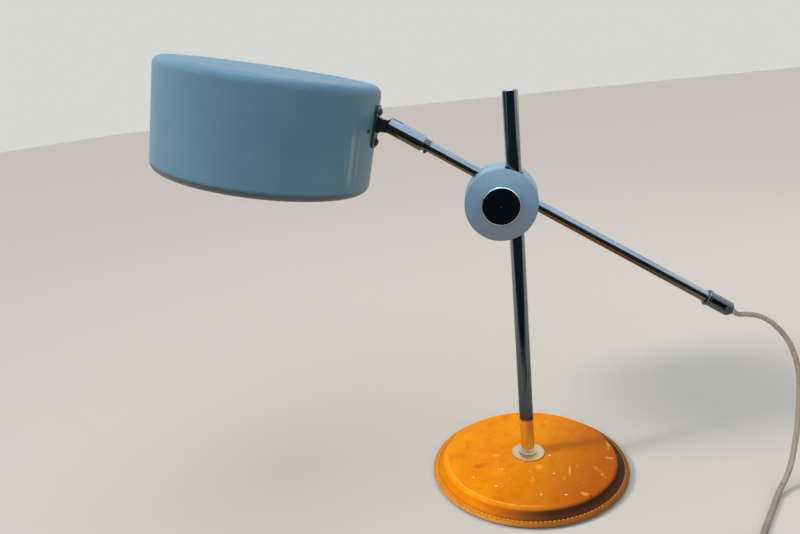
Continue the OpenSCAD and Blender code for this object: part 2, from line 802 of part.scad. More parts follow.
module nipple_nut() {
    color(brass_c) through_wall(face_x, bulb_drop) difference() {
        cylinder(d = 15, h = 3, $fn = 6);
        translate([0, 0, -1]) cylinder(r = 5, h = 5);
    }
}

module holder_lead() {
    start = face_x - bracket_t - 6;
    color(white_c) through_wall(start, bulb_drop) cylinder(d = wire_way_d, h = inner_r + shade_wall - start);
}

// The holder's section, z from its open front to its back
module lampholder_body() {
    cavity = cap_r + 0.9;
    cavity_l = 32;
    color(black_c) through_wall(holder_front, bulb_drop) rotate_extrude() polygon(concat(
        [[cavity, 0], [holder_r - 1.6, 0]],
        [[holder_r - 1.6, 9], [holder_r, 9]],
        arc(holder_r - 7, holder_l - 7, 7, 0, 90, 6),
        [[5, holder_l], [5, holder_l - 8], [3, holder_l - 8], [3, cavity_l], [cavity, cavity_l]]));
}

module lampholder_ring() {
    color(black_c) through_wall(holder_front - 1, bulb_drop) rotate_extrude() polygon([
        [cap_r + 0.9, 0], [holder_r + 1.4, 0], [holder_r + 2, 0.6], [holder_r + 2, 7.4],
        [holder_r + 1.4, 8], [holder_r - 1.6, 8], [holder_r - 1.6, 1], [cap_r + 0.9, 1]]);
}

module holder_contacts() {
    tongue_t = 0.4;
    tongue_w = 4.8;
    color(brass_c) {
        through_wall(cap_back + 0.3, bulb_drop) cylinder(r = 4, h = holder_front + 32 - cap_back - 0.3);
        for (side = [-1, 1]) in_shade()
            translate([holder_front + 18, side * (cap_r + 0.25 + tongue_t / 2) - tongue_t / 2, -bulb_drop - tongue_w / 2])
                cube([14, tongue_t, tongue_w]);
    }
}

module bulb_cap() {
    thread_l = 24;
    color(chrome_c) through_wall(cap_back, bulb_drop) rotate([180, 0, 0]) rotate_extrude() polygon([
        [0, 0], [4.5, 0], [5.5, 2], [9, 4], [cap_r, 5.4], [cap_r, thread_l], [cap_r - 0.6, thread_l + 2],
        [cap_r - 1.2, thread_l + 2], [cap_r - 1.2, 7], [0, 7]]);
}

// Half section of the glass, z from the cap to the crown, moved inwards by d
function bulb_line(d) = let (
    neck = 24, neck_r = cap_r - 1.2, crown_z = bulb_l, mid = crown_z - bulb_r) concat(
    [[neck_r - d, neck], [neck_r - d, neck + 4]],
    [for (i = [1 : 7]) let (k = i / 8, w = k * k * (3 - 2 * k))
        [neck_r - d + (bulb_r * cos(20) - neck_r) * w, neck + 4 + (mid - bulb_r * sin(20) - neck - 4) * k]],
    arc(0, mid, bulb_r - d, -20, 90, 14));

module bulb_glass() {
    color(glass_c) through_wall(cap_back, bulb_drop) rotate([180, 0, 0]) rotate_extrude()
        polygon(concat(bulb_line(0), reversed(bulb_line(glass_t))));
}

// Cord

function unit(v) = v / norm(v);

function tangent(p, i) = i == 0 ? unit(p[1] - p[0])
    : i == len(p) - 1 ? unit(p[i] - p[i - 1])
    : unit(unit(p[i + 1] - p[i]) + unit(p[i] - p[i - 1]));

// A tube of radius r and a number of sides along the points p. The vector
// over never runs along the tube.
module tube(p, r, sides, over) {
    rings = [for (i = [0 : len(p) - 1]) let (
        t = tangent(p, i), a = unit(cross(t, over)), b = cross(t, a))
        for (j = [0 : sides - 1]) p[i] + r * (cos(360 * j / sides) * a + sin(360 * j / sides) * b)];
    last = (len(p) - 1) * sides;
    skin = [for (i = [0 : len(p) - 2], j = [0 : sides - 1]) let (
        a = i * sides + j, b = i * sides + (j + 1) % sides) each [
        [a, b, b + sides], [a, b + sides, a + sides]]];
    polyhedron(points = rings, faces = concat(skin,
        [for (j = [1 : sides - 2]) [0, j + 1, j]],
        [for (j = [1 : sides - 2]) [last, last + j, last + j + 1]]));
}

function swap_z(p, z) = [p[0], p[1], z];

switch_in = swap_z(switch_at - switch_l / 2 * cord_way, switch_cord_z);
switch_out = swap_z(switch_at + switch_l / 2 * cord_way, switch_cord_z);
stretch_route = concat([cord_exit, cord_exit + cord_d * arm_way], stretch_points,
    [switch_in - cord_d * cord_way, switch_in]);
coil_start = swap_z(coil_touch, coil_z) - cord_d * cord_way;
lead_route = [switch_out, switch_out + cord_d * cord_way,
    swap_z(switch_out + 15 * cord_way, 5.4), swap_z(switch_out + 26 * cord_way, 3.9),
    coil_start - cord_d * cord_way, coil_start];
plug_back = swap_z(plug_at, plug_h / 2);
coil_end = coil_leave + cord_d * end_way;
end_route = [coil_end, coil_end + cord_d * end_way,
    swap_z(coil_end + 18 * end_way, 17), swap_z(coil_end + 29 * end_way, 13),
    swap_z(coil_end + 40 * end_way, 9), swap_z(coil_end + 49 * end_way, 7.2),
    plug_back - cord_d * end_way, plug_back];

module cord_stretch() {
    color(cord_c) tube(stretch_route, cord_r, 8, [0.3, -1, 1]);
}

module cord_lead() {
    color(cord_c) tube(lead_route, cord_r, 8, [0, 0, 1]);
}

module cord_end() {
    color(cord_c) tube(end_route, cord_r, 8, [0, 0, 1]);
}

// The coil spirals in and out again, a layer for each way, and climbs to the
// next layer in the half turn where it reverses. t counts turns.
function smooth(x) = let (k = min(1, max(0, x))) k * k * (3 - 2 * k);
function coil_radius(t) = let (k = t / layer_turns, odd = floor(k) % 2, part = k - floor(k))
    coil_r - turn_pitch * layer_turns * (odd == 0 ? part : 1 - part);
function climbed(t) = [for (k = [1 : layers - 1]) smooth((t - k * layer_turns + 0.25) / 0.5)];
function sum(list, i = 0) = i == len(list) ? 0 : list[i] + sum(list, i + 1);
function coil_point(t) = let (a = cord_heading + 90 - 360 * t) coil_at
    + [coil_radius(t) * cos(a), coil_radius(t) * sin(a), coil_z + layer_pitch * sum(climbed(t))];
loops = [for (i = [0 : turns * loop_rings]) coil_point(i / loop_rings)];
coil_route = concat([coil_start], loops, [coil_end]);

// Least gap of the coil to itself, measured on its points
far_pairs = [for (i = [0 : len(loops) - 1], j = [i + loop_rings / 2 : len(loops) - 1])
    if (j < len(loops)) norm(loops[i] - loops[j])];
echo(least_coil_gap = min(far_pairs) - cord_d);
echo(coil_length = sum([for (i = [1 : len(coil_route) - 1]) norm(coil_route[i] - coil_route[i - 1])]));
function route_length(p) = sum([for (i = [1 : len(p) - 1]) norm(p[i] - p[i - 1])]);
echo(stretch_length = route_length(stretch_route), lead_length = route_length(lead_route),
    end_length = route_length(end_route));

module cord_coil() {
    color(cord_c) tube(coil_route, cord_r, 6, [0, 0, 1]);
}

module cord_tie() {
    inside = coil_r - turn_pitch * layer_turns - cord_r - 0.3;
    outside = coil_r + cord_r + 0.3;
    height = coil_z + (layers - 1) * layer_pitch + cord_r + 0.3;
    tie_angle = 60;
    color(black_c) translate(coil_at) rotate([0, 0, tie_angle]) rotate([90, 0, 0])
        translate([0, 0, -tie_w / 2]) difference() {
            translate([inside - tie_t, 0, 0]) cube([outside - inside + 2 * tie_t, height + tie_t, tie_w]);
            translate([inside, tie_t, -1]) cube([outside - inside, height - tie_t, tie_w + 2]);
        }
}

// Cord switch: local x along the cord, z up from the table
module at_switch() {
    translate(switch_at) rotate([0, 0, cord_heading]) children();
}

split_z = switch_h / 2;
switch_wall = 1.8;
rocker_l = 19;
rocker_w = 10;
rocker_axis_z = switch_h - 3.4;

module switch_block(l, w, z0, z1) {
    translate([-l / 2 + w / 2, -w / 2, z0]) cube([l - w, w, z1 - z0]);
    for (side = [-1, 1]) translate([side * (l - w) / 2, 0, z0]) cylinder(d = w, h = z1 - z0);
}

module cord_ways() {
    for (side = [-1, 1]) translate([side * switch_l / 2, 0, switch_cord_z]) rotate([0, -side * 90, 0])
        translate([0, 0, -1]) cylinder(r = cord_r, h = 8);
}

module switch_lower() {
    color(white_c) at_switch() difference() {
        switch_block(switch_l, switch_w, 0, split_z);
        difference() {
            switch_block(switch_l - 8, switch_w - 2 * switch_wall, switch_wall, split_z + 1);
            for (side = [-1, 1]) translate([side * 17, 0, 0]) cylinder(r = 3, h = split_z);
        }
        for (side = [-1, 1]) translate([side * 17, 0, -1]) {
            cylinder(r = 1.1, h = split_z + 2);
            cylinder(r = 2.4, h = 3);
        }
        cord_ways();
    }
}

module switch_upper() {
    color(white_c) at_switch() difference() {
        union() {
            switch_block(switch_l, switch_w, split_z, switch_h - 1.2);
            switch_block(switch_l - 2.4, switch_w - 2.4, switch_h - 1.2 - eps, switch_h);
        }
        difference() {
            switch_block(switch_l - 8, switch_w - 2 * switch_wall, split_z - 1, switch_h - switch_wall);
            for (side = [-1, 1]) translate([side * 17, 0, 0]) cylinder(r = 3, h = switch_h);
            rocker_posts();
        }
        translate([-rocker_l / 2 - 0.6, -rocker_w / 2 - 0.4, split_z])
            cube([rocker_l + 1.2, rocker_w + 0.8, switch_h]);
        for (side = [-1, 1]) translate([side * 17, 0, split_z - 1]) cylinder(r = 1.1, h = 5);
        translate([0, -rocker_w, rocker_axis_z]) rotate([-90, 0, 0]) cylinder(r = 1.25, h = 2 * rocker_w);
        cord_ways();
    }
}

// Ears inside the cover that carry the rocker's trunnions
module rocker_posts() {
    for (side = [-1, 1]) translate([-3, side * (rocker_w / 2 + 1.6) - 1.2, rocker_axis_z - 3])
        cube([6, 2.4, switch_h - rocker_axis_z + 3]);
}

module switch_rocker() {
    color(black_c) at_switch() translate([0, 0, rocker_axis_z]) rotate([0, rocker_rest, 0]) union() {
        rotate([90, 0, 0]) translate([0, 0, -rocker_w / 2]) linear_extrude(rocker_w)
            polygon([[-rocker_l / 2 + 0.4, 1], [-rocker_l / 2 + 0.4, 4.4], [0, 3.6], [rocker_l / 2 - 0.4, 4.4],
                [rocker_l / 2 - 0.4, 1], [2.5, -2], [-2.5, -2]]);
        rotate([90, 0, 0]) translate([0, 0, -rocker_w / 2 - 2.2]) cylinder(r = 1.2, h = rocker_w + 4.4);
    }
}

module switch_contacts() {
    color(brass_c) at_switch() for (side = [-1, 1])
        translate([side * 7.5 - 2, -4, switch_wall]) cube([4, 8, 3.4]);
}

module switch_screws() {
    color(steel_c) at_switch() for (side = [-1, 1]) translate([side * 17, 0, 0.4]) {
        cylinder(r = 2.4, h = 1.6);
        cylinder(r = 1.1, h = split_z + 3);
    }
}

// Plug: local x from its back to its pins
module at_plug() {
    translate(plug_at) rotate([0, 0, end_heading]) children();
}

module plug_body() {
    neck_w = 12;
    color(white_c) at_plug() difference() {
        union() {
            linear_extrude(plug_h) polygon([
                [3, -neck_w / 2 + 1], [9, -neck_w / 2], [16, -plug_w / 2 + 3], [plug_l - 4, -plug_w / 2],
                [plug_l, -plug_w / 2 + 4], [plug_l, plug_w / 2 - 4], [plug_l - 4, plug_w / 2],
                [16, plug_w / 2 - 3], [9, neck_w / 2], [3, neck_w / 2 - 1]]);
            translate([0, 0, plug_h / 2]) rotate([0, 90, 0]) cylinder(r1 = cord_r + 1, r2 = 5, h = 9);
        }
        for (side = [-1, 1]) translate([plug_l - 10, side * prong_gap / 2, plug_h / 2]) rotate([0, 90, 0])
            cylinder(d = prong_d, h = 12);
    }
}

module plug_pins() {
    color(chrome_c) at_plug() for (side = [-1, 1])
        translate([plug_l - 10, side * prong_gap / 2, plug_h / 2]) rotate([0, 90, 0]) union() {
            cylinder(d = prong_d, h = prong_l + 8.4);
            translate([0, 0, prong_l + 8.4]) cylinder(d1 = prong_d, d2 = prong_d - 1.6, h = 1.6);
        }
}

base_pad();
base_weight();
base_shell();
leather_cover();
pole_flange();
pole_tube();
pole_top_plug();
foot_stud();
foot_washer();
foot_nut();
pole_liner();
clamp_body();
clamp_stud();
stud_washer();
stud_nut();
hand_wheel();
wheel_insert();
wheel_cap();
arm_block();
arm_liner();
arm_tube();
arm_collar();
collar_screw();
tail_ferrule();
grip_screw();
cord_bush();
inner_lead();
knuckle_sleeve();
knuckle_pin();
knuckle_blade();
hinge_plate();
plate_bolts();
plate_nuts();
shade_shell();
holder_bracket();
holder_nipple();
nipple_nut();
holder_lead();
lampholder_body();
lampholder_ring();
holder_contacts();
bulb_cap();
bulb_glass();
cord_stretch();
cord_lead();
cord_coil();
cord_end();
cord_tie();
switch_lower();
switch_upper();
switch_rocker();
switch_contacts();
switch_screws();
plug_body();
plug_pins();
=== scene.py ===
# Desk lamp with a leather covered foot, dressed over its CAD frame
import math
import bpy
import bmesh
import numpy as np
from mathutils import Matrix, Vector


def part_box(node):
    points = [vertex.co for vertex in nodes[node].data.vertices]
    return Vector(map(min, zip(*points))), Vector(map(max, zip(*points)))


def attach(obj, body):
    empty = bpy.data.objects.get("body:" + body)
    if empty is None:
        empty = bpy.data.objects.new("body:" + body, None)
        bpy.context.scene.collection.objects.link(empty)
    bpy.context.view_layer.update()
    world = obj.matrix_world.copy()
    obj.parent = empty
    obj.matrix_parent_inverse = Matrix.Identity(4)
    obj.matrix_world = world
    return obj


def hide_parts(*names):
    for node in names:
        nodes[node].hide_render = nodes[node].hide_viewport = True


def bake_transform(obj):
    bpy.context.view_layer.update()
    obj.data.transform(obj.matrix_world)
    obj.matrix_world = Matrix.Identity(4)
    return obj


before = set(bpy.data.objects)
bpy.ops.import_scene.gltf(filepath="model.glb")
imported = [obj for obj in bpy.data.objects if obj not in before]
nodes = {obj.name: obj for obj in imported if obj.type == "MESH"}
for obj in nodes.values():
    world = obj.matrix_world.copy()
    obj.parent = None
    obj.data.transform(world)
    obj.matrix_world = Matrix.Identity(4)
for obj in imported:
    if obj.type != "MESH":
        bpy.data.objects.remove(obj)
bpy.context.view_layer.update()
print("frame loaded:", len(nodes), "CAD nodes")


# Small helpers

def hexColour(code):
    # sRGB hex to the linear colour that a shader takes
    parts = [int(code[i:i + 2], 16) / 255 for i in (1, 3, 5)]
    return [p / 12.92 if p <= 0.04045 else ((p + 0.055) / 1.055) ** 2.4 for p in parts] + [1.0]


def plugIn(socket, given):
    # Links a socket, or a node's first open output; a value or a hex colour is set
    if isinstance(given, bpy.types.Node):
        given = next(output for output in given.outputs if output.enabled)
    if isinstance(given, bpy.types.NodeSocket):
        socket.id_data.links.new(given, socket)
    else:
        socket.default_value = hexColour(given) if isinstance(given, str) else given


def addNode(tree, kind, inputs=None, stops=None, **settings):
    made = tree.nodes.new("ShaderNode" + kind)
    for key, value in settings.items():
        setattr(made, key, value)
    for key, given in (inputs or {}).items():
        named = [socket for socket in made.inputs if socket.enabled and socket.name == key]
        plugIn(named[0] if named else made.inputs[key], given)
    for i, (place, colour) in enumerate(stops or []):
        element = made.color_ramp.elements[i] if i < 2 else made.color_ramp.elements.new(place)
        element.position = place
        element.color = hexColour(colour) if isinstance(colour, str) else (colour, colour, colour, 1)
    return made


def deselect():
    if bpy.context.object and bpy.context.object.mode != "OBJECT":
        bpy.ops.object.mode_set(mode="OBJECT")
    bpy.ops.object.select_all(action="DESELECT")


def activate(piece):
    deselect()
    piece.select_set(True)
    bpy.context.view_layer.objects.active = piece


def pickFaces(piece, test):
    # Leaves the piece in edit mode with those faces selected whose middle (mm) and normal pass
    activate(piece)
    bpy.ops.object.mode_set(mode="EDIT")
    bpy.ops.mesh.select_mode(type="FACE")
    bpy.ops.mesh.select_all(action="DESELECT")
    shape = bmesh.from_edit_mesh(piece.data)
    for face in shape.faces:
        face.select_set(test(face.calc_center_median() * 1000, face.normal))
    bmesh.update_edit_mesh(piece.data)


def pickEdges(piece, test):
    # The same for edges; the test gets both ends in mm
    activate(piece)
    bpy.ops.object.mode_set(mode="EDIT")
    bpy.ops.mesh.select_mode(type="EDGE")
    bpy.ops.mesh.select_all(action="DESELECT")
    shape = bmesh.from_edit_mesh(piece.data)
    for edge in shape.edges:
        edge.select_set(test(edge.verts[0].co * 1000, edge.verts[1].co * 1000))
    bmesh.update_edit_mesh(piece.data)


def finishWith(piece, kind, **settings):
    activate(piece)
    modifier = piece.modifiers.new(kind.lower(), kind)
    for key, value in settings.items():
        setattr(modifier, key, value)
    bpy.ops.object.modifier_apply(modifier=modifier.name)


def smoothOver(piece, degrees=32):
    activate(piece)
    bpy.ops.object.shade_smooth_by_angle(angle=math.radians(degrees))


def placeAt(piece, place):
    # Carries a piece modelled at the origin to its place and applies it
    activate(piece)
    piece.matrix_world = place @ piece.matrix_world
    bpy.ops.object.transform_apply(location=True, rotation=True, scale=True)


def latheUp(name, profile, sides, capFirst=False, capLast=False):
    # A circle extruded ring by ring, as on a lathe; the profile is (radius, height) in mm
    deselect()
    firstR, firstZ = profile[0]
    bpy.ops.mesh.primitive_circle_add(vertices=sides, radius=firstR / 1000, location=(0, 0, firstZ / 1000))
    piece = bpy.context.object
    piece.name = name
    bpy.ops.object.transform_apply(location=True, rotation=True, scale=True)
    bpy.ops.object.mode_set(mode="EDIT")
    bpy.ops.mesh.select_mode(type="EDGE")
    bpy.ops.mesh.select_all(action="SELECT")
    for (fromR, fromZ), (toR, toZ) in zip(profile, profile[1:]):
        bpy.ops.mesh.extrude_edges_move(TRANSFORM_OT_translate={"value": (0, 0, (toZ - fromZ) / 1000)})
        bpy.ops.transform.resize(value=(toR / fromR, toR / fromR, 1), center_override=(0, 0, 0))
    if capLast:
        bpy.ops.mesh.edge_face_add()
    if capFirst:
        def onFirst(a, b):
            return all(abs(p.z - firstZ) < 1e-3 and abs(p.xy.length - firstR) < 1e-2 for p in (a, b))
        pickEdges(piece, onFirst)
        bpy.ops.mesh.edge_face_add()
    bpy.ops.mesh.select_all(action="SELECT")
    bpy.ops.mesh.remove_doubles(threshold=1e-6)
    bpy.ops.mesh.normals_make_consistent(inside=False)
    bpy.ops.object.mode_set(mode="OBJECT")
    return piece


def arcPoints(cx, cy, r, fromAngle, toAngle, steps):
    turns = [math.radians(fromAngle + (toAngle - fromAngle) * i / steps) for i in range(steps + 1)]
    return [(cx + r * math.cos(a), cy + r * math.sin(a)) for a in turns]


# Camera, at the photograph's viewing angle

view = {"place": (-3.309, -593.2, 397.7), "yaw": -0.1864, "pitch": 0.2778, "roll": -0.104, "lens": 28.584}
bpy.ops.object.camera_add()
camera = bpy.context.object
camera.name = "camera"
camera.data.lens = view["lens"]
camera.data.sensor_width = 36
camera.data.clip_start = 0.01
camera.matrix_world = (
    Matrix.Translation(Vector(view["place"]) / 1000)
    @ Matrix.Rotation(-view["yaw"], 4, "Z")
    @ Matrix.Rotation(math.pi / 2 - view["pitch"], 4, "X")
    @ Matrix.Rotation(view["roll"], 4, "Z"))
bpy.context.scene.camera = camera
print("camera set")


# Cords: the lamp's lead from the arm's tail to its plug

cordSizes = {
    "thick": 4.8,
    "exit": (199.06, 16.3, 159.24),
    "armWay": (0.83962, 0, -0.54317),
    "hanging": [
        (208.5, 16.3, 156.4), (214, 16.3, 155.8), (219.5, 16, 154.8), (225.5, 15.5, 152.4),
        (231.5, 15, 148.4), (237.5, 14, 142.5), (243.5, 12.5, 135), (248, 11, 127),
        (251, 9, 119), (253.5, 7, 110), (255, 5, 100), (255.5, 3, 90),
        (255, 0, 79), (254, -3, 68), (252.5, -7, 57), (250, -12, 46),
        (246, -19, 34), (241, -27, 22.5), (235, -34, 13), (228, -41.5, 6.5),
        (221, -51, 3), (214.5, -62, 2.45), (207.5, -74, 2.45), (199.5, -87.5, 2.45),
        (192.5, -100, 2.6), (187, -111, 4.2)],
    "heading": -115,
    "switchLength": 62,
    "switchCordZ": 6.5,
    "leadLength": 50,
    "coilAt": (106, -208, 0),
    "coilR": 32.5,
    "coilZ": 3.1,
    "turns": 7.25,
    "pointsPerTurn": 48,
    "climbTurns": 0.5,
    "layers": 4,
    "turnPitch": 5.3,
    "layerPitch": 5.25,
    "endLength": 62,
    "plugHeight": 13.6,
    "sides": 16,
}


def headingWay(degrees):
    return Vector((math.cos(math.radians(degrees)), math.sin(math.radians(degrees)), 0))


def atHeight(point, z):
    return Vector((point.x, point.y, z))


def smoothStep(x):
    k = min(1, max(0, x))
    return k * k * (3 - 2 * k)


def coilPoint(t):
    c = cordSizes
    layerTurns = c["turns"] / c["layers"]
    k = t / layerTurns
    part = k - math.floor(k)
    radius = c["coilR"] - c["turnPitch"] * layerTurns * (part if math.floor(k) % 2 == 0 else 1 - part)
    climbs = [smoothStep((t - n * layerTurns) / c["climbTurns"] + 0.5) for n in range(1, c["layers"])]
    a = math.radians(c["heading"] + 90 - 360 * t)
    return Vector(c["coilAt"]) + Vector((
        radius * math.cos(a), radius * math.sin(a), c["coilZ"] + c["layerPitch"] * sum(climbs)))


cordR = cordSizes["thick"] / 2
cordWay = headingWay(cordSizes["heading"])
endHeading = cordSizes["heading"] - 360 * cordSizes["turns"]
endWay = headingWay(endHeading)
coilMiddle = Vector(cordSizes["coilAt"])
coilTouch = coilMiddle + cordSizes["coilR"] * headingWay(cordSizes["heading"] + 90)
switchAt = coilTouch - (cordSizes["leadLength"] + cordSizes["switchLength"] / 2) * cordWay
switchIn = atHeight(switchAt - cordSizes["switchLength"] / 2 * cordWay, cordSizes["switchCordZ"])
switchOut = atHeight(switchAt + cordSizes["switchLength"] / 2 * cordWay, cordSizes["switchCordZ"])
coilStart = atHeight(coilTouch, cordSizes["coilZ"]) - cordSizes["thick"] * cordWay
coilTop = cordSizes["coilZ"] + (cordSizes["layers"] - 1) * cordSizes["layerPitch"]
coilLeft = coilMiddle + cordSizes["coilR"] * headingWay(endHeading + 90)
coilEnd = coilLeft + Vector((0, 0, coilTop)) + cordSizes["thick"] * endWay
plugAt = coilLeft + cordSizes["endLength"] * endWay
plugBack = atHeight(plugAt, cordSizes["plugHeight"] / 2)

cordExit = Vector(cordSizes["exit"])
hangingRoute = [cordExit, cordExit + cordSizes["thick"] * Vector(cordSizes["armWay"])] \
    + [Vector(p) for p in cordSizes["hanging"]] \
    + [switchIn - cordSizes["thick"] * cordWay, switchIn]
leadRoute = [
    switchOut, switchOut + cordSizes["thick"] * cordWay,
    atHeight(switchOut + 15 * cordWay, 5.4), atHeight(switchOut + 26 * cordWay, 3.9),
    coilStart - cordSizes["thick"] * cordWay, coilStart]
coilPoints = int(cordSizes["turns"] * cordSizes["pointsPerTurn"]) + 1
coilRoute = [coilStart] + [coilPoint(i / cordSizes["pointsPerTurn"]) for i in range(coilPoints)] + [coilEnd]
endRoute = [
    coilEnd, coilEnd + cordSizes["thick"] * endWay,
    atHeight(coilEnd + 18 * endWay, 17), atHeight(coilEnd + 29 * endWay, 13),
    atHeight(coilEnd + 40 * endWay, 9), atHeight(coilEnd + 49 * endWay, 7.2),
    plugBack - cordSizes["thick"] * endWay, plugBack]


def curveThrough(points, step):
    # Points every step mm along one smooth curve through the route's points
    p = [points[0] * 2 - points[1]] + list(points) + [points[-1] * 2 - points[-2]]
    fine = []
    for a, b, c, d in zip(p, p[1:], p[2:], p[3:]):
        for k in range(12):
            t = k / 12
            fine.append(0.5 * (2 * b + (c - a) * t + (2 * a - 5 * b + 4 * c - d) * t ** 2
                               + (3 * b - a - 3 * c + d) * t ** 3))
    fine.append(points[-1].copy())
    along = [0.0]
    for a, b in zip(fine, fine[1:]):
        along.append(along[-1] + (b - a).length)
    count = max(4, round(along[-1] / step))
    places = np.linspace(0, along[-1], count + 1)
    xyz = [np.interp(places, along, [f[i] for f in fine]) for i in range(3)]
    return [Vector(q) for q in zip(*xyz)], along[-1]


def ringFrames(route):
    # Directions across the cord, carried along it without twist
    ways = [(b - a).normalized() for a, b in zip(route, route[1:])]
    tangents = [ways[0]] + [(a + b).normalized() for a, b in zip(ways, ways[1:])] + [ways[-1]]
    across = tangents[0].orthogonal().normalized()
    frames = []
    for way in tangents:
        across = (across - across.dot(way) * way).normalized()
        frames.append((across.copy(), way.cross(across)))
    return frames


def cordTube(name, route, frames, startAt):
    # A round tube in mesh code, with its UV in metres: x round the cord, y along it
    sides = cordSizes["sides"]
    shape = bmesh.new()
    layer = shape.loops.layers.uv.new("lay")
    rings = []
    for place, (across, over) in zip(route, frames):
        turns = [2 * math.pi * j / sides for j in range(sides)]
        rings.append([shape.verts.new((place + cordR * (math.cos(a) * across + math.sin(a) * over)) / 1000)
                      for a in turns])
    along = startAt
    for i, (ring, following) in enumerate(zip(rings, rings[1:])):
        further = along + (route[i + 1] - route[i]).length
        for j in range(sides):
            k = (j + 1) % sides
            face = shape.faces.new((ring[j], ring[k], following[k], following[j]))
            face.smooth = True
            corners = ((j, along), (j + 1, along), (j + 1, further), (j, further))
            for loop, (u, v) in zip(face.loops, corners):
                loop[layer].uv = (u / sides * 2 * math.pi * cordR / 1000, v / 1000)
        along = further
    shape.faces.new(list(reversed(rings[0])))
    shape.faces.new(rings[-1])
    shape.normal_update()
    data = bpy.data.meshes.new(name)
    shape.to_mesh(data)
    shape.free()
    piece = bpy.data.objects.new(name, data)
    bpy.context.collection.objects.link(piece)
    return piece


# The hanging stretch is cut into one length for each joint that it crosses
stretchLine, stretchLength = curveThrough(hangingRoute, 1.9)
stretchFrames = ringFrames(stretchLine)
stretchStep = stretchLength / (len(stretchLine) - 1)
stretchCuts = [
    ("cord_at_tail", 0, 30.4, "arm_slider", "arm"),
    ("cord_below_tail", 30.4, 40, "block", "arm_slider"),
    ("cord_bend", 40, 70.4, "clamp", "block"),
    ("cord_hanging", 70.4, 200, "pole", "clamp"),
    ("cord_on_table", 200, stretchLength, "base", "pole"),
]
cords = {}
for name, begin, stop, lower, upper in stretchCuts:
    first, last = round(begin / stretchStep), round(stop / stretchStep)
    line = stretchLine[first:last + 1]
    tube = cordTube(name, line, stretchFrames[first:last + 1], first * stretchStep)
    cords[name] = (tube, line, lower, upper)
for name, route, step in (("cord_lead_run", leadRoute, 2.0), ("cord_coil_wound", coilRoute, 2.5),
                          ("cord_end_run", endRoute, 2.0)):
    line = curveThrough(route, step)[0]
    cords[name] = (cordTube(name, line, ringFrames(line), 0), line, "base", None)
print("cords made:", {name: round(sum((b - a).length for a, b in zip(c[1], c[1][1:])), 1)
                      for name, c in cords.items()})


# Finishes, each patterned in millimetres

def feed(shader, **inputs):
    # Sets or links inputs by name; Base_Color stands for Base Color
    for key, given in inputs.items():
        plugIn(shader.inputs[key.replace("_", " ")], given)


def newFinish(name, **inputs):
    finish = bpy.data.materials.new(name)
    finish.use_nodes = True
    tree = finish.node_tree
    shader = tree.nodes["Principled BSDF"]
    feed(shader, **inputs)
    where = addNode(tree, "TexCoord")
    place = addNode(tree, "Mapping", {"Scale": (1000, 1000, 1000), "Vector": where.outputs["Object"]})
    return finish, tree, shader, place


def mottle(tree, place, scale, detail, roughness, stops):
    # Tones picked by a cloudy noise, and that noise
    cloud = addNode(tree, "TexNoise",
                    {"Scale": scale, "Detail": detail, "Roughness": roughness, "Vector": place})
    return addNode(tree, "ValToRGB", {"Fac": cloud}, stops), cloud


def allOf(tree, amount, *others):
    # Several amounts that have to come together
    for other in others:
        amount = addNode(tree, "Math", {0: amount, 1: other}, operation="MULTIPLY")
    return amount


def layColours(tree, base, layers):
    # Colours laid over a base in turn, each by its own amount
    for amount, colour in layers:
        base = addNode(tree, "Mix", {"Factor": amount, "A": base, "B": colour}, data_type="RGBA")
    return base


def unevenShine(tree, shader, amount, low, high, least, most):
    # Roughness that follows a pattern: least where it is low, most where it is high
    shine = addNode(tree, "MapRange", {"From Min": low, "From Max": high, "To Min": least, "To Max": most,
                                       "Value": amount})
    feed(shader, Roughness=shine)


def coverWith(tree, shader, colour, height, depth, strength):
    # The finish's colour, and its relief, a depth in mm
    relief = addNode(tree, "Bump", {"Strength": strength, "Distance": depth / 1000, "Height": height})
    feed(shader, Base_Color=colour, Normal=relief)


